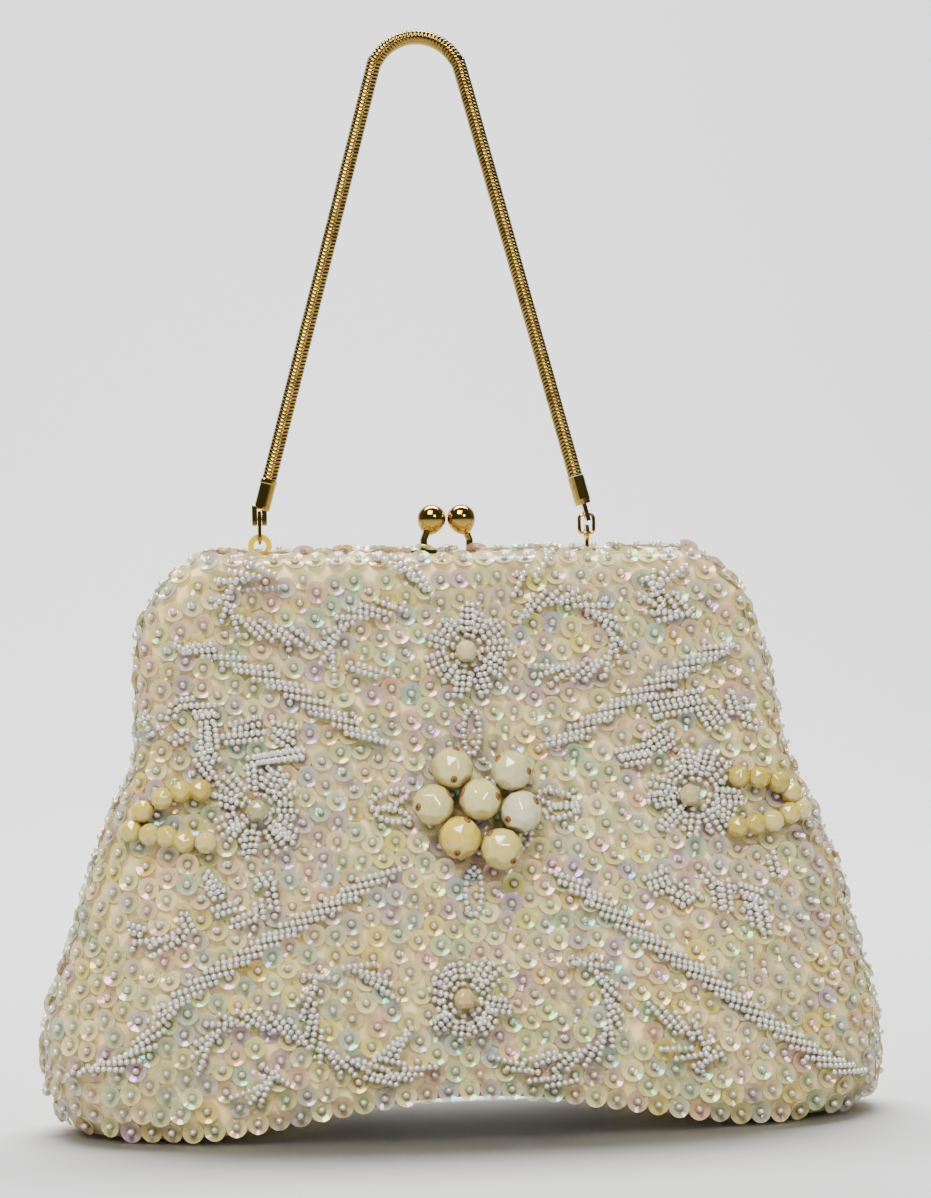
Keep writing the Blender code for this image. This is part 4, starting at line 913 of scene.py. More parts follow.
# A sequin's form, in shares of its diameter: the rim's height, and the reach and height of its rings
SEQUIN_RIM_RISE = 0.11
SEQUIN_CUP = (0.25, 0.01)
SEQUIN_FOLD = (0.21, 0.0)
SEQUIN_HOLE = (0.06, 0.012)
# The rim's lower edge lies a little further out and lower
SEQUIN_UNDER_REACH = 1.015
SEQUIN_UNDER_DROP = 0.06
# The painted light and shade on a sequin, from each share of its radius outwards: a painted shadow under the
# rim, a painted glow at the rim, a little painted light at the cup's bend, painted shade in its fold and at
# the hole
SEQUIN_PAINTED_LIGHT = ((1.005, 0.25), (0.9, 1.25), (0.46, 1.04), (0.3, 0.5), (0.0, 0.6))


def sequin_painted_light(unit):
    """The painted light and shade of each point of a sequin."""
    radius = settings("bead_sizes").sequin / 2
    reaches = [math.hypot(vertex.co.x, vertex.co.y) / radius for vertex in unit.data.vertices]
    return [next(weight for start, weight in SEQUIN_PAINTED_LIGHT if reach > start) for reach in reaches]


def sequin_unit():
    """A sequin pressed into a shallow cup of facets, open in the middle."""
    clear_selection()
    size = settings("bead_sizes").sequin
    points = 2 * SEQUIN_FACETS
    bpy.ops.mesh.primitive_circle_add(vertices=points, radius=size / 2, fill_type="NOTHING",
                                      location=(0, 0, 0))
    unit = named("sequin_unit")
    work = bmesh.new()
    work.from_mesh(unit.data)
    rim = sorted(work.verts, key=lambda v: math.atan2(v.co.y, v.co.x))
    for vertex in rim:
        vertex.co.z = size * SEQUIN_RIM_RISE
    drop = Vector((0, 0, size * SEQUIN_UNDER_DROP))
    under = [work.verts.new(vertex.co * SEQUIN_UNDER_REACH - drop) for vertex in rim]
    rings = ([], [], [])
    for k in range(SEQUIN_FACETS):
        turn = math.atan2(rim[2 * k].co.y, rim[2 * k].co.x)
        out = Vector((math.cos(turn), math.sin(turn), 0))
        for ring, (reach, rise) in zip(rings, (SEQUIN_CUP, SEQUIN_FOLD, SEQUIN_HOLE)):
            ring.append(work.verts.new(out * size * reach + Vector((0, 0, size * rise))))
    cup, fold, hole = rings
    for k in range(SEQUIN_FACETS):
        n = (k + 1) % SEQUIN_FACETS
        work.faces.new((rim[2 * k], rim[2 * k + 1], cup[k]))
        work.faces.new((rim[2 * k + 1], rim[(2 * k + 2) % points], cup[n], cup[k]))
        work.faces.new((cup[k], cup[n], fold[n], fold[k]))
        work.faces.new((fold[k], fold[n], hole[n], hole[k]))
    for k in range(points):
        n = (k + 1) % points
        work.faces.new((rim[n], rim[k], under[k], under[n]))
    bmesh.ops.recalc_face_normals(work, faces=work.faces)
    if sum(face.normal.z for face in work.faces) < 0:
        bmesh.ops.reverse_faces(work, faces=work.faces)
    work.to_mesh(unit.data)
    work.free()
    return unit


def discard(obj):
    bpy.data.objects.remove(obj, do_unlink=True)


# Beadwork

# How much of a tint's spread goes to its hue
HUE_SPREAD_SHARE = 0.12


def mixed_tint(source, colours, weights, spread_amount):
    """A colour near one of a few, chosen by weight, as red, green, blue and a loose number."""
    base = numpy.array(linear(colours[source.choice(len(colours), p=weights)])[:3])
    shade = base * (1 + source.uniform(-spread_amount, spread_amount))
    shade = shade + source.uniform(-spread_amount, spread_amount, 3) * HUE_SPREAD_SHARE
    return (*numpy.clip(shade, 0, 1), source.uniform(0, 1))


SEED_SHADES = ("#BFBAAE", "#C9C4B8", "#AFACA6", "#CFC4AA")
SEED_WEIGHTS = (0.45, 0.3, 0.17, 0.08)
SEED_SPREAD = 0.06
SEQUIN_SHADES = ("#BCB17A", "#CFC28C", "#C0A67F", "#ADB085", "#A4A993", "#AA9A90", "#C8B462", "#A09C83")
SEQUIN_WEIGHTS = (0.26, 0.2, 0.12, 0.12, 0.08, 0.1, 0.07, 0.05)
SEQUIN_SPREAD = 0.11
CENTRE_SEED_SHADES = ("#D0C9B4", "#C0BAAA", "#D6CAA8")
CENTRE_SEED_WEIGHTS = (0.5, 0.3, 0.2)
CENTRE_SEED_SPREAD = 0.08

# How far the middle of a thread of beads stands up: of a bar, petals, a vine and the one beside it
BAR_HUMP = 0.0006
PETAL_HUMPS = (0.0004, 0.0013)
VINE_HUMP = 0.0005
BESIDE_HUMP = 0.0003


def string_frames(surface, start, stop, beads, hump):
    """Seed beads on a thread between two places over the cloth."""
    radius = settings("bead_sizes").seed / 2
    frames = []
    for k in range(beads):
        share = (k + 0.5) / beads
        place, normal = smooth_nearest(surface, start.lerp(stop, share))
        lift = radius + settings("bead_sizes").seed_stand + hump * math.sin(math.pi * share)
        frames.append(facing_frame(place + normal * lift, normal, stop - start))
    return frames


def bars_along(surface, pixels, beads, step, turn):
    """Short threads of beads laid one past the other along a line, each turned a little from it."""
    pitch = settings("bead_sizes").seed_pitch
    places = [smooth_hit(surface, *pixel_ray(*pixel))[0] for pixel in pixels]
    _, length = curve_points(places, 2)
    count = max(2, round((length - beads * pitch) / (step * pitch)) + 1)
    route, _ = curve_points(places, max(3, count * 4 + 1))
    frames = []
    for k in range(count):
        share = (beads / 2 * pitch + k * (length - beads * pitch) / (count - 1)) / length
        at = min(max(1, round(share * (len(route) - 1))), len(route) - 2)
        middle, normal = smooth_nearest(surface, route[at])
        ahead = (route[at + 1] - route[at - 1]).normalized()
        ahead = Matrix.Rotation(math.radians(turn), 3, normal) @ ahead
        half = ahead * (beads * pitch / 2)
        frames += string_frames(surface, middle - half, middle + half, beads, BAR_HUMP)
    return frames


# How far from a flower's middle its threads start, and a petal's outer rows after them, in beads
PETAL_START = 0.0033
OUTER_START_BEADS = 1.1
# How unevenly petals are turned, as a share of the step between them, their length as a share of the
# flower's reach, and their lean to either side in degrees
PETAL_TURN_SPREAD = 0.16
PETAL_LENGTHS = (0.84, 1.06)
PETAL_LEAN = 20
# The outer rows' length as a share of the petal's, how much of the lean turns the whole petal, and how
# much of it shifts the outer rows' ends
OUTER_LENGTHS = (0.84, 1.0)
LEAN_AT_START = 0.3
LEAN_AT_END = 0.2
# The rows' distance, in beads, and the share of it at their start
ROW_BEADS = 1.02
ROW_START_SHARE = 0.85


def petal_frames(surface, name, source):
    """A flower of short threads that run out from round its centre bead, three rows to a petal."""
    sizes = settings("bead_sizes")
    across, down = FLOWER_PIXELS[name]
    centre, normal = smooth_hit(surface, *pixel_ray(across, down))
    edge, _ = smooth_hit(surface, *pixel_ray(across + FLOWER_REACH_PIXELS[name], down))
    reach = (edge - centre).length
    side = facing_frame(centre, normal).to_3x3()
    frames = []
    for petal in range(FLOWER_PETALS):
        turn = math.tau * (petal + source.uniform(-PETAL_TURN_SPREAD, PETAL_TURN_SPREAD)) / FLOWER_PETALS
        length = reach * source.uniform(*PETAL_LENGTHS)
        lean = math.radians(source.uniform(-PETAL_LEAN, PETAL_LEAN))
        facing = turn + lean * LEAN_AT_START
        out = Vector((math.cos(facing), math.sin(facing), 0))
        for row in (-1, 0, 1):
            low = PETAL_START if row == 0 else PETAL_START + sizes.seed * OUTER_START_BEADS
            high = length * (1.0 if row == 0 else source.uniform(*OUTER_LENGTHS))
            beside = Vector((-math.sin(turn), math.cos(turn), 0)) * (row * sizes.seed * ROW_BEADS)
            opened = beside.normalized() * (high - low) * math.sin(lean) * LEAN_AT_END
            begin = centre + side @ (out * low + beside * ROW_START_SHARE)
            end = centre + side @ (out * high + beside + opened)
            beads = max(3, round((high - low) / sizes.seed_pitch))
            frames += string_frames(surface, begin, end, beads, PETAL_HUMPS[(petal + row) % 2])
    return frames


LOOP_POINTS = 24
LEAST_LOOP_BEADS = 8


def loop_frames(surface, across, down, half_length, half_width, lean):
    """Seed beads on a thread sewn down as a narrow loop."""
    pitch = settings("bead_sizes").seed_pitch
    stand = settings("bead_sizes").seed / 2 + settings("bead_sizes").seed_stand
    turn = math.radians(lean)
    ring = []
    for k in range(LOOP_POINTS):
        angle = math.tau * k / LOOP_POINTS
        step_x, step_y = half_length * math.cos(angle), half_width * math.sin(angle)
        ring.append((across + step_x * math.cos(turn) + step_y * math.sin(turn),
                     down - step_x * math.sin(turn) + step_y * math.cos(turn)))
    places = [smooth_hit(surface, *pixel_ray(*pixel))[0] for pixel in ring + ring[:1]]
    _, length = curve_points(places, 2)
    count = max(LEAST_LOOP_BEADS, round(length / pitch))
    route, _ = curve_points(places, count + 1)
    frames = []
    for k in range(count):
        place, normal = smooth_nearest(surface, route[k])
        frames.append(facing_frame(place + normal * stand, normal, route[k + 1] - route[k]))
    return frames


def vine_frames(surface, left, high, right, low):
    """Two threads of seed beads side by side, the second one bead shorter."""
    sizes = settings("bead_sizes")
    start = smooth_hit(surface, *pixel_ray(left, high))[0]
    stop = smooth_hit(surface, *pixel_ray(right, low))[0]
    beads = max(3, round((stop - start).length / sizes.seed_pitch))
    beside = (stop - start).normalized().cross(Vector((0, -1, 0))) * sizes.seed
    nearer = (stop - start) / beads * 0.5
    return (string_frames(surface, start, stop, beads, VINE_HUMP)
            + string_frames(surface, start + beside + nearer, stop + beside - nearer, beads - 1, BESIDE_HUMP))


def seed_piece(name, frames, unit, source, *nodes):
    tints = [mixed_tint(source, SEED_SHADES, SEED_WEIGHTS, SEED_SPREAD) for _ in frames]
    piece = spread(name, unit, frames, tints, smooth=True)
    dress(piece, material("lustred_seed_glass"), "pearl_seed_beads", "bag", *nodes)


def make_seed_work(surface):
    """All couched seed beads of the front; gives the places that they take up."""
    source = random_source(SEED_WORK_DRAW)
    unit = seed_unit(settings("bead_sizes").seed)
    taken = []
    for name, (pixels, beads, step, turn) in SEED_LINES.items():
        frames = bars_along(surface, pixels, beads, step, turn)
        taken += frames
        seed_piece(f"beads_of_{name}", frames, unit, source, name)
    for name in FLOWER_PIXELS:
        frames = petal_frames(surface, name, source)
        taken += frames
        seed_piece(f"beads_of_seed_flower_{name}", frames, unit, source, f"seed_flower_{name}")
    scrolls = [f for line in SCROLL_LINES for f in bars_along(surface, *line)]
    seed_piece("small_scroll_beads", scrolls, unit, source)
    vines = [f for ends in SEED_STRINGS for f in vine_frames(surface, *ends)]
    seed_piece("vine_beads", vines, unit, source)
    loops = [f for loop in SEED_LOOPS for f in loop_frames(surface, *loop)]
    seed_piece("centre_loop_beads", loops, unit, source)
    taken += scrolls + vines + loops
    discard(unit)
    return [place.translation for place in taken]


# How often a place for a sequin is tried
SEQUIN_TRIES = 40000


def scattered(surface, source, keep, rows):
    """Places all over a surface that keep a least distance from each other and from the sewn rows."""
    pitch = settings("bead_sizes").sequin_pitch
    corners = surface["places"][surface["corners"]]
    cross = numpy.cross(corners[:, 1] - corners[:, 0], corners[:, 2] - corners[:, 0])
    areas = numpy.linalg.norm(cross, axis=1)
    picked = source.choice(len(areas), size=SEQUIN_TRIES, p=areas / areas.sum())
    first, second = source.uniform(size=SEQUIN_TRIES), source.uniform(size=SEQUIN_TRIES)
    over = first + second > 1
    first[over], second[over] = 1 - first[over], 1 - second[over]
    points = corners[picked, 0] + first[:, None] * (corners[picked, 1] - corners[picked, 0])
    points = points + second[:, None] * (corners[picked, 2] - corners[picked, 0])
    steps = [(i, j, k) for i in (-1, 0, 1) for j in (-1, 0, 1) for k in (-1, 0, 1)]
    cells = {}
    chosen = []

    def cell_of(place):
        return tuple(int(math.floor(value / pitch)) for value in place)

    for place, normal in rows:
        cells.setdefault(cell_of(place), []).append(tuple(place))
        chosen.append((place, normal))
    for point, index in zip(points, picked):
        cell = cell_of(point)
        near = [other for step in steps for other in cells.get(tuple(a + b for a, b in zip(cell, step)), ())]
        if any(sum((a - b) ** 2 for a, b in zip(point, other)) < pitch ** 2 for other in near):
            continue
        place = Vector(point)
        normal = smooth_normal(surface, place, index)
        if not keep(place, normal):
            continue
        cells.setdefault(cell, []).append(tuple(point))
        chosen.append((place, normal))
    return chosen


# Rounds of drawing sequins apart, the distance below which they push, in sequins, and how far each round goes
EVEN_STEPS = 14
EVEN_REACH_SHARE = 0.97
EVEN_PUSH_SHARE = 0.3


def evened(surface, spots, still, keep):
    """Draws the places apart until they lie evenly; the first ones, along the edges, stay where they are."""
    reach = settings("bead_sizes").sequin * EVEN_REACH_SHARE
    for _ in range(EVEN_STEPS):
        tree = KDTree(len(spots))
        for k, (place, _) in enumerate(spots):
            tree.insert(place, k)
        tree.balance()
        for k in range(still, len(spots)):
            place = spots[k][0]
            push = Vector()
            for other, index, gap in tree.find_range(place, reach):
                if index != k and gap > NEAR_ZERO:
                    push += (place - other) * ((reach - gap) / gap)
            moved = smooth_nearest(surface, place + push * EVEN_PUSH_SHARE)
            if keep(*moved):
                spots[k] = moved
    return spots


# How much a place's distance to the side counts in telling a half's outside from its inside
SIDE_WEIGHT = 0.35
# A face whose normal rises more than this is the top edge's and is kept
TOP_FACE_RISE = 0.5


def outer_surface(obj):
    """The outer face of a cloth half alone, without its inside."""
    copy = obj.data.copy()
    work = bmesh.new()
    work.from_mesh(copy)
    inner = []
    for face in work.faces:
        middle = face.calc_center_median()
        facing = Vector((middle.x * SIDE_WEIGHT, middle.y, 0)).dot(face.normal)
        if facing < 0 and face.normal.z < TOP_FACE_RISE:
            inner.append(face)
    bmesh.ops.delete(work, geom=inner, context="FACES")
    work.to_mesh(copy)
    work.free()
    holder = bpy.data.objects.new("outer_surface", copy)
    surface = surface_of(holder)
    bpy.data.objects.remove(holder)
    return surface


# The rows that follow the top and bottom edges, as shares of the way up the cloth, and their pitch in sequins
ROW_UP_SHARES = (0.955, 0.022)
ROW_PITCH_SHARE = 0.93
# A row's points across, and the last of them before the seam
ROW_STEPS = 40
LAST_ROW_STEP = 37


def sewn_rows(surface, side):
    """Places at even distances along the top and bottom edges of a half."""
    skin = Skin()
    sizes = settings("bag_sizes")
    spacing = settings("bead_sizes").sequin * ROW_PITCH_SHARE
    rows = []
    for up in ROW_UP_SHARES:
        line = [skin.place(k / ROW_STEPS, up, side, sizes.beaded_inset, 0.0, sizes.top_inset)
                for k in range(-LAST_ROW_STEP, LAST_ROW_STEP + 1)]
        _, length = curve_points(line, 2)
        points, _ = curve_points(line, max(3, round(length / spacing)))
        rows += [smooth_nearest(surface, point) for point in points]
    return rows


# How high a sequin's bead stands on the cloth, and how far a sequin may dip below the floor's level
SEWN_HEIGHT = 0.0031
FLOOR_DIP = 0.0002
# A face that looks this far towards the other half is on the inside of the cloth
INNER_FACE_TURN = -0.4
# No sequin lies nearer than this to the plane between the halves, but for those at the very top
SEAM_GAP = 0.0006
TOP_BAND = 0.003
# The room that a couched bead takes from the sequins, in beads
COUCHED_ROOM_BEADS = 1.2
# A sequin's height on the cloth and its size, which vary a little, and where its bead sits, in beads
SEQUIN_LIFTS = (0.0005, 0.0012)
SEQUIN_SCALES = (0.93, 1.03)
BEAD_SEAT_SHARE = 0.46


def sequin_rule(side, taken, hard):
    """Makes the test of whether a sequin may be sewn at a place."""
    sizes = settings("bead_sizes")
    top = settings("bag_sizes").top
    covered = KDTree(max(1, len(taken)))
    for k, place in enumerate(taken):
        covered.insert(place, k)
    covered.balance()

    def keep(place, normal):
        low = place.z - sizes.sequin / 2 * math.sqrt(max(0.0, 1 - normal.z ** 2))
        low += min(0.0, normal.z) * SEWN_HEIGHT
        if low < -FLOOR_DIP or (side * place.y < SEAM_GAP and place.z < top - TOP_BAND):
            return False
        if side * normal.y < INNER_FACE_TURN:
            return False
        if taken and covered.find(place)[2] < sizes.seed * COUCHED_ROOM_BEADS:
            return False
        return all((place - centre).length > radius for centre, radius in hard)

    return keep


def make_sequins(cloth, side, taken, hard):
    """Sequins all over a half, each held by one seed bead."""
    source = random_source(SEQUINS_DRAW + side)
    sizes = settings("bead_sizes")
    surface = outer_surface(cloth)
    keep = sequin_rule(side, taken, hard)
    rows = [row for row in sewn_rows(surface, side) if keep(*row)]
    spots = evened(surface, scattered(surface, source, keep, rows), len(rows), keep)
    discs, beads, disc_tints, bead_tints = [], [], [], []
    for place, normal in spots:
        lean = source.uniform(-1, 1, 2) * sizes.sequin_tilt
        turned = (Euler((lean[0], lean[1], 0)).to_matrix() @ normal).normalized()
        seat = place + normal * source.uniform(*SEQUIN_LIFTS)
        spin = source.uniform(0, math.tau)
        discs.append(facing_frame(seat, turned, None, spin, source.uniform(*SEQUIN_SCALES)))
        disc_tints.append(mixed_tint(source, SEQUIN_SHADES, SEQUIN_WEIGHTS, SEQUIN_SPREAD))
        along = Vector(source.uniform(-1, 1, 3))
        beads.append(facing_frame(seat + turned * (sizes.sequin_seed * BEAD_SEAT_SHARE), turned, along))
        bead_tints.append(mixed_tint(source, CENTRE_SEED_SHADES, CENTRE_SEED_WEIGHTS, CENTRE_SEED_SPREAD))
    half = "front" if side < 0 else "back"
    sequin = sequin_unit()
    seed = seed_unit(sizes.sequin_seed)
    # The sequins' tints carry a painted shadow under the rim, a painted glow at the rim and painted shade
    # round the hole
    discs_piece = spread(f"{half}_sequins", sequin, discs, disc_tints, False, sequin_painted_light(sequin))
    beads_piece = spread(f"{half}_sequin_beads", seed, beads, bead_tints, smooth=True)
    body = "bag" if side < 0 else None
    dress(discs_piece, material("acetate_sequin_pressed"), "beaded_satin", body)
    dress(beads_piece, material("clear_seed_glass"), "pearl_seed_beads", body)
    if side > 0:
        blend_over_hinge(discs_piece)
        blend_over_hinge(beads_piece)
    discard(sequin)
    discard(seed)


# Glass beads

CLUSTER_SHADES = ("#D6CB88", "#D0C380", "#CDC48E", "#D0C380", "#D4CDA8", "#D6BD54", "#D0C06C")
STRAND_SHADES = ("#C6B252", "#BBA440", "#CFBE74", "#AEA148", "#C8B45C")
FLOWER_SHADES = {"top": "#C9B986", "bottom": "#C1A96A", "left": "#A5A170", "right": "#BAAF7E"}
# Where the ends of each large bead's hole show: shares of its radius to the right and up
HOLE_SHARES = (((-0.86, 0.3), (0.83, 0.08)), ((0.0, -0.62), (0.17, 0.92)), ((-0.7, 0.56), (0.82, -0.1)),
               ((-0.7, -0.16), (0.78, 0.55)), ((0.7, 0.5), (-0.64, -0.42)), ((0.34, 0.86), (-0.18, -0.72)),
               ((-0.6, 0.74), (0.45, -0.6)))
# A thread's end and the painted shade in the middle of the hole: radius and height, as shares of the bead's
# radius
KNOT_SHARES = (0.17, 0.985)
HOLE_SHADE_SHARES = (0.085, 1.035)
KNOT_SIDES = 10
KNOT_RINGS = 6
# A thread's end is longer than wide and pressed flat
KNOT_STRETCH = (1, 1.3, 0.5, 1)


def thread_ends(name, middle, radius, ahead, shares):
    """The thread's brown ends in a bead's hole, each a flat knot with a dark spot of painted shade for the
    hole in it.
    """
    _, right, up, _ = view_axes()
    knots, hole_shades = [], []
    for across, rise in shares:
        depth = math.sqrt(max(0.0, 1 - across ** 2 - rise ** 2))
        out = (right * across + up * rise + ahead * depth).normalized()
        for kept, (wide, height) in ((knots, KNOT_SHARES), (hole_shades, HOLE_SHADE_SHARES)):
            clear_selection()
            bpy.ops.mesh.primitive_uv_sphere_add(segments=KNOT_SIDES, ring_count=KNOT_RINGS,
                                                 radius=radius * wide, location=(0, 0, 0))
            knot = named(f"{name}_end")
            turned = facing_frame(middle + out * radius * height, out, None, across)
            move_mesh(knot, turned @ Matrix.Diagonal(KNOT_STRETCH))
            kept.append(knot)
    # The dark spots in the knots are painted shade for the holes
    for pieces, label, finish in ((knots, name, "silk_thread_waxed"),
                                  (hole_shades, f"{name}_hole", "wax_soot_in_hole")):
        both = joined(pieces, label)
        both.data.shade_smooth()
        dress(both, material(finish), "faceted_ivory_glass", "bag")


# How much of a glass bead's ends is left where they are flattened
POLE_SHARE = 0.86
# The softened edges between facets: width as a share of the radius, and the least angle in degrees
FACET_EDGE_SHARE = 0.035
FACET_EDGE_ANGLE = 8


def glass_bead(name, radius, around, rows):
    """A round bead with flat facets in staggered rows and a softened edge between them."""
    clear_selection()
    bpy.ops.mesh.primitive_uv_sphere_add(segments=around, ring_count=rows, radius=radius, location=(0, 0, 0))
    bead = named(name)
    work = bmesh.new()
    work.from_mesh(bead.data)
    for vertex in work.verts:
        row = round(math.acos(max(-1.0, min(1.0, vertex.co.z / radius))) / math.pi * rows)
        vertex.co = Matrix.Rotation(math.pi / around * (row % 2), 3, "Z") @ vertex.co
    poles = [v for v in work.verts if len(v.link_edges) == around]
    for pole in poles:
        pole.co.z *= POLE_SHARE
    bmesh.ops.connect_verts_concave(work, faces=work.faces)
    bmesh.ops.triangulate(work, faces=[face for face in work.faces if len(face.verts) > 3])
    work.to_mesh(bead.data)
    work.free()
    apply_modifier(bead, "BEVEL", width=radius * FACET_EDGE_SHARE, segments=1, limit_method="ANGLE",
                   angle_limit=math.radians(FACET_EDGE_ANGLE))
    return bead


# The heights out from a bead's middle, as shares of its radius, between which its painted shade turns to its
# own colour
FULL_SHADE_HEIGHT = -0.15
UNSHADED_HEIGHT = 0.6


def paint_glass_shade(bead, tint, middle, normal, radius):
    """Paints shade on the glass: darkest towards the cloth below the bead's middle, its own colour over its
    top.
    """
    light = numpy.array(linear(tint))
    painted_shade_colour = numpy.array(settings("bag_colours").glass_painted_shade)
    places = numpy.array([vertex.co for vertex in bead.data.vertices]) - numpy.array(middle)
    height = places @ numpy.array(normal) / radius
    share = numpy.clip((height - FULL_SHADE_HEIGHT) / (UNSHADED_HEIGHT - FULL_SHADE_HEIGHT), 0, 1)[:, None]
    share = share * share * (3 - 2 * share)
    shades = bead.data.attributes.new("tint", "FLOAT_COLOR", "POINT")
    shades.data.foreach_set("color", (painted_shade_colour + (light - painted_shade_colour) * share).astype(numpy.float32).ravel())


def node_middle(name):
    low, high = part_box(name)
    return (low + high) / 2


# Facets of a bead round it and from end to end
CLUSTER_FACETS = (10, 7)
SMALL_FACETS = (8, 6)
# How far the points between the facets reach, and the thread's ends, as shares of the node's radius
FACET_REACH_SHARE = 1.1
THREAD_REACH_SHARE = 1.07
# The turn from one bead of the cluster to the next in radians, and the first lean and the step between
# leans in degrees
CLUSTER_SPIN = 0.7
CLUSTER_LEANS = (62, 9)
# The room that a bead of the cluster takes from the sequins, as a share of its radius
CLUSTER_ROOM_SHARE = 0.95
# The flowers' beads: radius, stand over their node, lean in degrees and the room that they take
FLOWER_BEAD_RADIUS = 0.003
FLOWER_BEAD_STAND = 0.0004
FLOWER_BEAD_LEAN = 75
FLOWER_BEAD_ROOM = 0.0035


def make_cluster(surface):
    """The seven large beads of the centre; gives the places that the sequins leave free."""
    first_lean, lean_step = CLUSTER_LEANS
    hard = []
    for k, shade in enumerate(CLUSTER_SHADES):
        node = f"centre_bead_{k + 1}"
        middle = node_middle(node)
        _, normal = smooth_nearest(surface, middle)
        radius = (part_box(node)[1].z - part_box(node)[0].z) / 2
        bead = glass_bead(f"glass_{node}", radius * FACET_REACH_SHARE, *CLUSTER_FACETS)
        lean = Matrix.Rotation(math.radians(first_lean + lean_step * k), 4, "X")
        move_mesh(bead, facing_frame(middle, normal, None, CLUSTER_SPIN * k) @ lean)
        paint_glass_shade(bead, shade, middle, normal, radius)
        dress(bead, material("opal_glass_faceted"), "faceted_ivory_glass", "bag", node)
        thread_ends(f"thread_of_{node}", middle, radius * THREAD_REACH_SHARE, normal, HOLE_SHARES[k])
        hard.append((middle - normal * radius, radius * CLUSTER_ROOM_SHARE))
    return hard


def make_flower_beads(surface):
    """The beads in the middle of the four flowers; gives the places that the sequins leave free."""
    hard = []
    for name, shade in FLOWER_SHADES.items():
        node = f"flower_bead_{name}"
        middle = node_middle(node)
        _, normal = smooth_nearest(surface, middle)
        bead = glass_bead(f"glass_{node}", FLOWER_BEAD_RADIUS, *SMALL_FACETS)
        lean = Matrix.Rotation(math.radians(FLOWER_BEAD_LEAN), 4, "X")
        move_mesh(bead, facing_frame(middle + normal * FLOWER_BEAD_STAND, normal) @ lean)
        paint_glass_shade(bead, shade, middle, normal, FLOWER_BEAD_RADIUS)
        dress(bead, material("opal_glass_faceted"), "flower_ivory_glass", "bag", node)
        hard.append((middle - normal * FLOWER_BEAD_RADIUS, FLOWER_BEAD_ROOM))
    return hard


STRAND_PIXELS = {
    "left_upper": ((201, 792), (181, 793), (163, 800), (148, 813)),
    "left_lower": ((207, 844), (185, 843), (168, 838), (153, 836), (138, 833)),
    "right_upper": ((736, 778), (756, 779), (773, 784), (783, 795)),
    "right_lower": ((735, 828), (753, 825), (769, 822), (783, 815), (792, 812)),
}


STRAND_BEAD_RADIUS = 0.0032
# How far a strand's bead stands off the cloth, and the room that it takes, as a share of its radius
STRAND_STAND = 0.0003
STRAND_ROOM_SHARE = 0.9


def make_strands(surface):
    """The four strands at the sides; gives the places that the sequins leave free."""
    source = random_source(STRANDS_DRAW)
    stand = STRAND_BEAD_RADIUS + STRAND_STAND
    hard = []
    for name, pixels in STRAND_PIXELS.items():
        beads = []
        for k, pixel in enumerate(pixels):
            place, normal = smooth_hit(surface, *pixel_ray(*pixel))
            ahead = Vector(pixels[min(k + 1, len(pixels) - 1)]) - Vector(pixels[max(k - 1, 0)])
            along = Vector((ahead.x, 0, -ahead.y))
            bead = glass_bead(f"strand_{name}_bead_{k + 1}", STRAND_BEAD_RADIUS, *SMALL_FACETS)
            shade = STRAND_SHADES[source.randint(len(STRAND_SHADES))]
            middle = place + normal * stand
            turned = facing_frame(middle, normal, along) @ Matrix.Rotation(math.pi / 2, 4, "Y")
            move_mesh(bead, turned @ Matrix.Rotation(source.uniform(0, 1), 4, "Z"))
            paint_glass_shade(bead, shade, middle, normal, STRAND_BEAD_RADIUS)
            beads.append(bead)
            hard.append((place, STRAND_BEAD_RADIUS * STRAND_ROOM_SHARE))
        strand = joined(beads, f"glass_strand_{name}")
        dress(strand, material("opal_glass_faceted"), "strand_ivory_glass", "bag", f"edge_strand_{name}")
    return hard


# How far a lug lies in front of its pivot and below the cloth's top, and the room that it takes
LUG_FORWARD = 0.0045
LUG_DROP = 0.0005
LUG_ROOM = 0.0052


def lug_places():
    """The lugs' places, which the sequins leave free."""
    height = settings("bag_sizes").top - LUG_DROP
    return [(Vector((pivot.x, -LUG_FORWARD, height)), LUG_ROOM) for pivot in (LEFT_PIVOT, RIGHT_PIVOT)]


# Metal

CLASP_MIDDLE = (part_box("front_clasp_ball")[0].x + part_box("rear_clasp_ball")[1].x) / 2
CAD_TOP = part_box("front_panel")[1].z
BALL_SIDES = 48
BALL_RINGS = 24
# A clasp ball is drawn out towards its stem's foot: the foot's shift from the ball's middle, and how much
# the ball narrows and lengthens there, as shares of its size
BALL_FOOT_SHIFT = 0.0022
BALL_NARROWING = 0.16
BALL_LENGTHENING = 0.17


def make_clasp():
    """The two clasp balls, each a little pear-shaped."""
    sizes = settings("metal_sizes")
    for name, body in (("front", "bag"), ("rear", "rear_half")):
        middle = node_middle(f"{name}_clasp_ball")
        clear_selection()
        bpy.ops.mesh.primitive_uv_sphere_add(segments=BALL_SIDES, ring_count=BALL_RINGS,
                                             radius=sizes.ball / 2, location=middle)
        ball = named(f"{name}_kiss_ball")
        settle_place(ball)
        shift = math.copysign(BALL_FOOT_SHIFT, middle.x - CLASP_MIDDLE)
        foot = Vector((shift, 0, CAD_TOP - middle.z)).normalized()
        for vertex in ball.data.vertices:
            out = vertex.co - middle
            below = max(0.0, out.dot(foot) / (sizes.ball / 2))
            narrow = 1 - BALL_NARROWING * below ** 2
            vertex.co = middle + out * narrow + foot * (below ** 2 * sizes.ball * BALL_LENGTHENING)
        ball.data.shade_smooth()
        dress(ball, material("brass_gilt_polished"), "polished_gilt_brass", body, f"{name}_clasp_ball")


# The chain's round arch, and how far from a pivot the chain starts in its cap
CHAIN_ARCH_RADIUS = 0.0127
CHAIN_START = 0.011
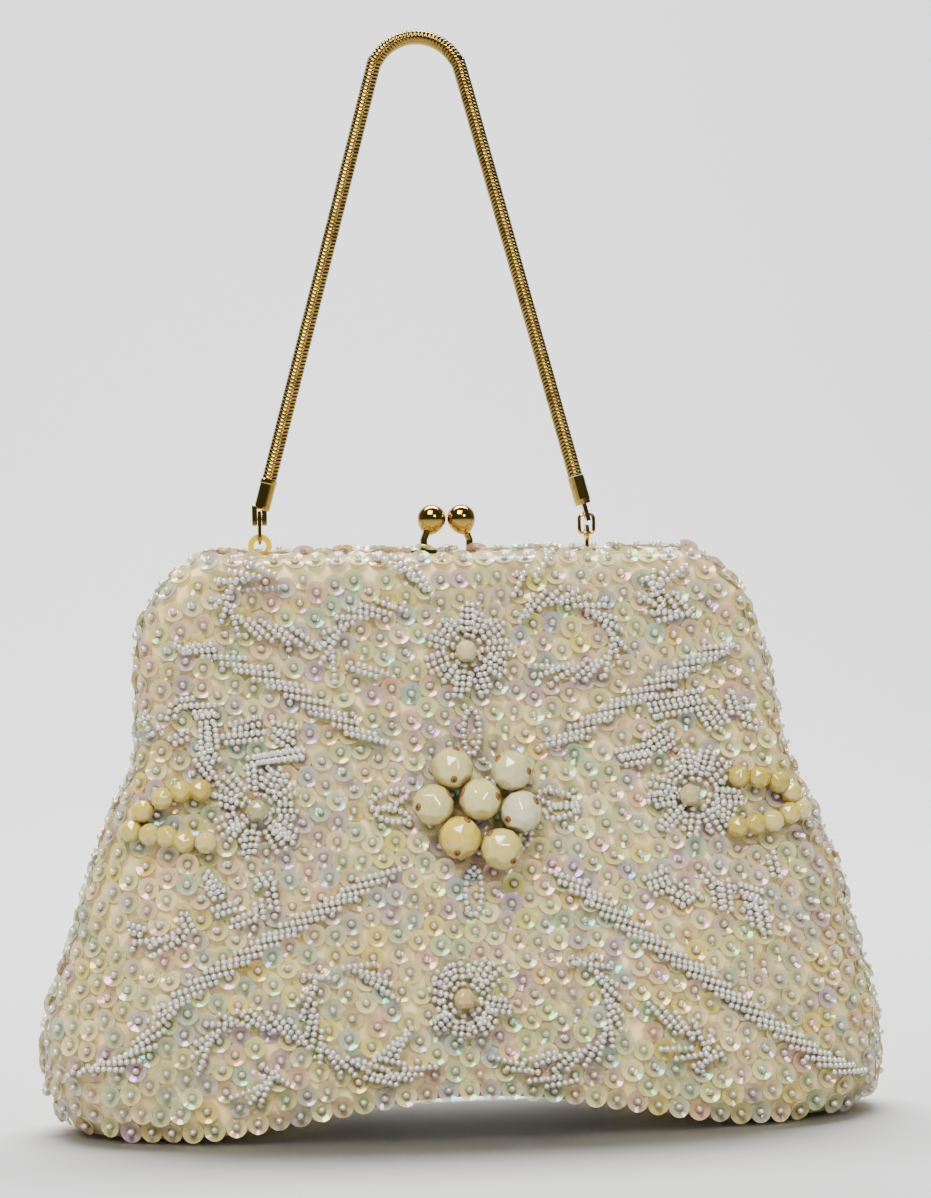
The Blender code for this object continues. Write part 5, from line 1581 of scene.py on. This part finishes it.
# The points of the middle line: shares of a leg, and how many there are on half the arch
LEG_POINT_SHARES = (0.4, 0.75)
ARCH_POINTS = 7


def chain_leg():
    """The height of the chain's top line, the lean of its legs and their length."""
    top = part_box("snake_chain")[1].z - settings("metal_sizes").chain / 2
    spread_half = (RIGHT_PIVOT.x - LEFT_PIVOT.x) / 2
    rise = top - CHAIN_ARCH_RADIUS - RIGHT_PIVOT.z
    reach = math.hypot(spread_half, rise)
    lean = math.atan2(spread_half, rise) - math.asin(CHAIN_ARCH_RADIUS / reach)
    return top, lean, math.sqrt(reach ** 2 - CHAIN_ARCH_RADIUS ** 2)


def chain_route():
    """The chain's middle line: two straight legs that run into a round arch."""
    top, lean, leg = chain_leg()
    middle = (LEFT_PIVOT.x + RIGHT_PIVOT.x) / 2
    along = Vector((-math.sin(lean), 0, math.cos(lean)))
    centre = Vector((middle, RIGHT_PIVOT.y, top - CHAIN_ARCH_RADIUS))
    half = [RIGHT_PIVOT + along * CHAIN_START]
    half += [RIGHT_PIVOT + along * leg * share for share in LEG_POINT_SHARES]
    half += [centre + CHAIN_ARCH_RADIUS * Vector((math.cos(a), 0, math.sin(a)))
             for a in numpy.linspace(lean, math.pi / 2, ARCH_POINTS)]
    mirrored = [Vector((2 * middle - p.x, p.y, p.z)) for p in half[:-1]]
    return mirrored + half[::-1]


# One scale of the chain: shares along it, and of the chain's radius there
SCALE_PROFILE = ((0.0, 1.0), (0.5, 0.995), (0.8, 0.955), (0.999, 0.88))
CHAIN_SIDES = 20
# The points of the route to a scale, and how far a scale's edge waves, as a share of its length
SCALE_STEPS = 8
SCALE_WAVE = 0.32


def make_chain():
    """Snake chain: short cupped scales that sit one in the next, waved round the tube."""
    sizes = settings("metal_sizes")
    points = chain_route()
    _, length = curve_points(points, 2)
    scales = round(length / sizes.scale_pitch)
    steps = scales * SCALE_STEPS
    route, _ = curve_points(points, steps + 1)
    verts, faces = [], []
    radius = sizes.chain / 2
    for k in range(scales):
        for share, size in SCALE_PROFILE:
            for s in range(CHAIN_SIDES):
                angle = math.tau * s / CHAIN_SIDES
                wave = SCALE_WAVE * math.cos(2 * angle)
                at = min(max((k + share + wave) * SCALE_STEPS, 0), steps - 1)
                low = int(at)
                here = route[low].lerp(route[low + 1], at - low)
                ahead = (route[min(low + 2, steps)] - route[max(low - 2, 0)]).normalized()
                across = ahead.cross(Vector((0, 1, 0))).normalized()
                out = across * math.cos(angle) + Vector((0, 1, 0)) * math.sin(angle)
                verts.append(here + out * radius * size)
    rows = len(verts) // CHAIN_SIDES
    for r in range(rows - 1):
        first, second = r * CHAIN_SIDES, (r + 1) * CHAIN_SIDES
        for s in range(CHAIN_SIDES):
            n = (s + 1) % CHAIN_SIDES
            faces.append((first + s, first + n, second + n, second + s))
    faces.append(tuple(range(CHAIN_SIDES))[::-1])
    faces.append(tuple(range((rows - 1) * CHAIN_SIDES, rows * CHAIN_SIDES)))
    mesh = bpy.data.meshes.new("snake_chain_scales")
    mesh.from_pydata(verts, [], faces)
    chain = bpy.data.objects.new("snake_chain_scales", mesh)
    bpy.context.collection.objects.link(chain)
    only(chain)
    bpy.ops.object.mode_set(mode="EDIT")
    bpy.ops.mesh.select_all(action="SELECT")
    bpy.ops.mesh.normals_make_consistent(inside=False)
    bpy.ops.object.mode_set(mode="OBJECT")
    mesh.shade_smooth()
    # The chain's darker gilt is painted shade
    dress(chain, material("brass_gilt_chain"), "polished_gilt_brass", "handle", "snake_chain")


# The left end cap, in millimetres from the pin that holds the link: its tube, its two prongs and its pin
CAP_TUBE = ((2.4, 1.9), (2.7, 2.15), (3.4, 2.2), (9.6, 2.2), (9.9, 2.32), (10.7, 2.32), (11.0, 2.1))
PRONG_PLACE = (1.34, 0.9)
PRONG_HALF_SIZE = (0.72, 1.25, 2.9)
PRONG_ROUND = 0.4
PRONG_ROUND_STEPS = 4
PIN_RADIUS = 0.5
PIN_HALF_LENGTH = 1.9
CAP_SIDES = 28
PIN_SIDES = 16
# Edges of the cap that turn by more than this many degrees stay sharp
CAP_SMOOTH_ANGLE = 35


def make_left_cap():
    """The end cap that holds the edge-on link: a tube, two prongs under it and a pin between them."""
    clear_selection()
    start, wide = CAP_TUBE[0]
    bpy.ops.mesh.primitive_circle_add(vertices=CAP_SIDES, radius=wide * MILLIMETRE, fill_type="NGON",
                                      location=(0, 0, start * MILLIMETRE))
    tube = named("left_cap_tube")
    settle_place(tube)
    work = bmesh.new()
    work.from_mesh(tube.data)
    face = work.faces[:][0]
    for (_, narrow), (high, wide) in zip(CAP_TUBE, CAP_TUBE[1:]):
        ring = bmesh.ops.extrude_face_region(work, geom=[face])["geom"]
        face = [item for item in ring if isinstance(item, bmesh.types.BMFace)][0]
        for vertex in face.verts:
            vertex.co = Vector((vertex.co.x * wide / narrow, vertex.co.y * wide / narrow, high * MILLIMETRE))
    bmesh.ops.recalc_face_normals(work, faces=work.faces)
    work.to_mesh(tube.data)
    work.free()
    _, lean, _ = chain_leg()
    move_mesh(tube, Matrix.Rotation(lean, 4, "Y"))
    pieces = [tube]
    across, middle = PRONG_PLACE
    for hand in (-1, 1):
        clear_selection()
        bpy.ops.mesh.primitive_cube_add(size=2, location=(hand * across * MILLIMETRE, 0, middle * MILLIMETRE))
        prong = named("left_cap_prong")
        prong.scale = [half * MILLIMETRE for half in PRONG_HALF_SIZE]
        settle_place(prong)
        apply_modifier(prong, "BEVEL", width=PRONG_ROUND * MILLIMETRE, segments=PRONG_ROUND_STEPS)
        pieces.append(prong)
    clear_selection()
    bpy.ops.mesh.primitive_cylinder_add(vertices=PIN_SIDES, radius=PIN_RADIUS * MILLIMETRE,
                                        depth=2 * PIN_HALF_LENGTH * MILLIMETRE, location=(0, 0, 0),
                                        rotation=(0, math.pi / 2, 0))
    pin = named("left_cap_pin")
    settle_place(pin)
    pieces.append(pin)
    cap = joined(pieces, "left_chain_cap")
    move_mesh(cap, Matrix.Translation(LEFT_PIVOT))
    only(cap)
    bpy.ops.object.shade_smooth_by_angle(angle=math.radians(CAP_SMOOTH_ANGLE))
    dress(cap, material("brass_gilt_polished"), "polished_gilt_brass", "handle", "end_cap_left")


# The hard nodes whose shape is right, by their material
NODE_FINISHES = {
    "brass_gilt_polished": ("front_clasp_stem", "rear_clasp_stem", "handle_lug_right", "lug_rivet_left",
                            "lug_rivet_right", "chain_link_left", "chain_link_right", "end_cap_right"),
    "steel_strip_plated": ("front_frame", "rear_frame", "hinge_pin_left", "hinge_pin_right"),
    # The left lug's brighter yellow is painted light
    "brass_gilt_brushed": ("handle_lug_left",),
    "grey_board_pressed": ("base_stiffener",),
}


def dress_nodes():
    for finish, names in NODE_FINISHES.items():
        for name in names:
            node = NODES[name]
            if not node.material_slots:
                node.data.materials.append(material(finish))
            for slot in node.material_slots:
                slot.material = material(finish)


# Stage

# The paper's size and the height of its wall, with the round bend between them
PAPER_WIDTH = 8.0
PAPER_DEPTH = 4.0
WALL_HEIGHT = 4.0
BEND_RADIUS = 1.2
BEND_STEPS = 24
BEND_ANGLE = 60
# The lamps: place, the point that they face, width and length, watts and colour
LAMPS = {
    "top_softbox": ((0.0, 0.36, 1.2), (0, 0.1, 0.0), (1.0, 0.3), 24.0, (1.0, 0.99, 0.97)),
    "key_lamp": ((-0.3, -0.78, 1.2), (0, 0, 0.1), (0.7, 0.7), 37.0, (1.0, 0.99, 0.96)),
    "second_lamp": ((0.42, -1.1, 0.62), (0, 0, 0.12), (0.26, 0.26), 5.5, (1.0, 0.99, 0.97)),
    "wall_softbox": ((0.0, 0.7, 1.9), (0, 2.0, 0.4), (2.4, 0.8), 77.0, (1.0, 1.0, 1.0)),
}
# The lamps whose light the paper doesn't take, so that it stays pale and even
FLAGGED_LAMPS = ("key_lamp", "second_lamp")
ROOM_COLOUR = (0.93, 0.95, 1.0, 1.0)
ROOM_STRENGTH = 0.1


def paper_sweep():
    """Matt paper, pulped and pressed, with a fine grain."""
    made, tree = new_material("paper_sweep_matt")
    where = add_node(tree, "ShaderNodeTexCoord").outputs["Object"]
    grain = add_node(tree, "ShaderNodeTexNoise", {"Scale": pattern_scale(1.1111), "Detail": 2.0},
                     {"Vector": where})
    bump = add_node(tree, "ShaderNodeBump", {"Strength": 0.03, "Distance": 0.2 * MILLIMETRE},
                    {"Height": grain.outputs["Fac"]})
    finish_material(tree, {"Base Color": settings("bag_colours").floor, "Roughness": 0.75},
                    {"Normal": bump.outputs["Normal"]})
    return made


def make_paper():
    """A floor of paper that bends up into a wall at its back."""
    clear_selection()
    bpy.ops.mesh.primitive_plane_add(size=1, location=(0, 0, 0))
    floor = named("stage_floor")
    only(floor)
    floor.data.transform(Matrix.Diagonal((PAPER_WIDTH, PAPER_DEPTH, 1.0, 1.0)))
    bpy.ops.object.mode_set(mode="EDIT")
    bpy.ops.mesh.select_all(action="DESELECT")
    bpy.ops.object.mode_set(mode="OBJECT")
    for edge in floor.data.edges:
        edge.select = all(floor.data.vertices[v].co.y > 0.0 for v in edge.vertices)
    bpy.ops.object.mode_set(mode="EDIT")
    bpy.ops.mesh.extrude_region_move(TRANSFORM_OT_translate={"value": (0, 0, WALL_HEIGHT)})
    bpy.ops.mesh.select_all(action="DESELECT")
    bpy.ops.object.mode_set(mode="OBJECT")
    apply_modifier(floor, "BEVEL", width=BEND_RADIUS, segments=BEND_STEPS, limit_method="ANGLE",
                   angle_limit=math.radians(BEND_ANGLE))
    floor.data.shade_smooth()
    floor.data.materials.append(paper_sweep())
    return floor


def area_light(name, place, towards, size, power, colour):
    data = bpy.data.lights.new(name, "AREA")
    data.shape = "RECTANGLE"
    data.size, data.size_y = size
    data.energy = power
    data.color = colour
    light = bpy.data.objects.new(name, data)
    light.location = place
    light.rotation_euler = (Vector(towards) - Vector(place)).to_track_quat("-Z", "Y").to_euler()
    bpy.context.collection.objects.link(light)
    return light


def make_lights(floor):
    """A dim room and four lamps."""
    world = bpy.data.worlds.new("plain_room")
    bpy.context.scene.world = world
    world.use_nodes = True
    background = world.node_tree.nodes["Background"]
    background.inputs["Color"].default_value = ROOM_COLOUR
    background.inputs["Strength"].default_value = ROOM_STRENGTH
    lamps = {name: area_light(name, *values) for name, values in LAMPS.items()}
    flagged = bpy.data.collections.new("flagged_floor")
    flagged.objects.link(floor)
    flagged.collection_objects[0].light_linking.link_state = "EXCLUDE"
    for name in FLAGGED_LAMPS:
        lamps[name].light_linking.receiver_collection = flagged


def make_camera():
    """The camera that took the photograph, as its fit to the bag's outline gives it."""
    place, right, up, ahead = view_axes()
    data = bpy.data.cameras.new("front_camera")
    data.sensor_width = SENSOR
    data.lens = settings("stage_settings").focal_pixels / IMAGE_HEIGHT * SENSOR
    camera = bpy.data.objects.new("front_camera", data)
    turned = Matrix((right, up, -ahead)).transposed().to_4x4()
    camera.matrix_world = Matrix.Translation(place) @ turned
    bpy.context.collection.objects.link(camera)
    bpy.context.scene.camera = camera


# Operators and panel

class BAG_OT_cloth(bpy.types.Operator):
    """Make the front and back halves of the outer cloth and the bottom between them"""
    bl_idname = "bag.cloth"
    bl_label = "Cloth"

    def execute(self, context):
        make_cloth()
        make_base()
        return {"FINISHED"}


class BAG_OT_lining(bpy.types.Operator):
    """Make the wadding, the lining and its pocket"""
    bl_idname = "bag.lining"
    bl_label = "Lining"

    def execute(self, context):
        make_layers()
        make_pocket()
        return {"FINISHED"}


class BAG_OT_beadwork(bpy.types.Operator):
    """Sew on the glass beads, the couched seed beads and the sequins"""
    bl_idname = "bag.beadwork"
    bl_label = "Beadwork"

    def execute(self, context):
        front = bpy.data.objects["front_cloth"]
        surface = surface_of(front)
        hard = make_cluster(surface) + make_flower_beads(surface) + make_strands(surface) + lug_places()
        taken = make_seed_work(surface)
        make_sequins(front, -1, taken, hard)
        make_sequins(bpy.data.objects["back_cloth"], 1, [], [])
        return {"FINISHED"}


class BAG_OT_clasp(bpy.types.Operator):
    """Make the two clasp balls and finish the metal nodes"""
    bl_idname = "bag.clasp"
    bl_label = "Clasp and fittings"

    def execute(self, context):
        make_clasp()
        make_left_cap()
        dress_nodes()
        return {"FINISHED"}


class BAG_OT_chain(bpy.types.Operator):
    """Make the snake chain handle"""
    bl_idname = "bag.chain"
    bl_label = "Snake chain"

    def execute(self, context):
        make_chain()
        return {"FINISHED"}


class BAG_OT_stage(bpy.types.Operator):
    """Make the paper floor, the lights and the camera"""
    bl_idname = "bag.stage"
    bl_label = "Stage"

    def execute(self, context):
        make_lights(make_paper())
        make_camera()
        return {"FINISHED"}


class BAG_PT_panel(bpy.types.Panel):
    """Lists what the bag is made of"""
    bl_label = "Beaded evening bag"
    bl_idname = "BAG_PT_panel"
    bl_space_type = "VIEW_3D"
    bl_region_type = "UI"
    bl_category = "Bag"

    def draw(self, context):
        for operator in OPERATORS:
            self.layout.operator(operator.bl_idname)
        for group in GROUPS:
            values = getattr(context.scene, group)
            for key in type(values).__annotations__:
                self.layout.prop(values, key)


OPERATORS = (BAG_OT_cloth, BAG_OT_lining, BAG_OT_beadwork, BAG_OT_clasp, BAG_OT_chain, BAG_OT_stage)
GROUPS = {"bag_sizes": BagSizes, "bead_sizes": BeadSizes, "metal_sizes": MetalSizes,
          "bag_colours": BagColours, "stage_settings": StageSettings}


def register():
    for group, kind in GROUPS.items():
        bpy.utils.register_class(kind)
        setattr(bpy.types.Scene, group, PointerProperty(type=kind))
    for kind in (*OPERATORS, BAG_PT_panel):
        bpy.utils.register_class(kind)


def unregister():
    for kind in (BAG_PT_panel, *OPERATORS[::-1]):
        bpy.utils.unregister_class(kind)
    for group, kind in GROUPS.items():
        delattr(bpy.types.Scene, group)
        bpy.utils.unregister_class(kind)


def main():
    register()
    bpy.ops.bag.cloth()
    bpy.ops.bag.lining()
    bpy.ops.bag.beadwork()
    bpy.ops.bag.clasp()
    bpy.ops.bag.chain()
    bpy.ops.bag.stage()


if __name__ == "__main__":
    main()
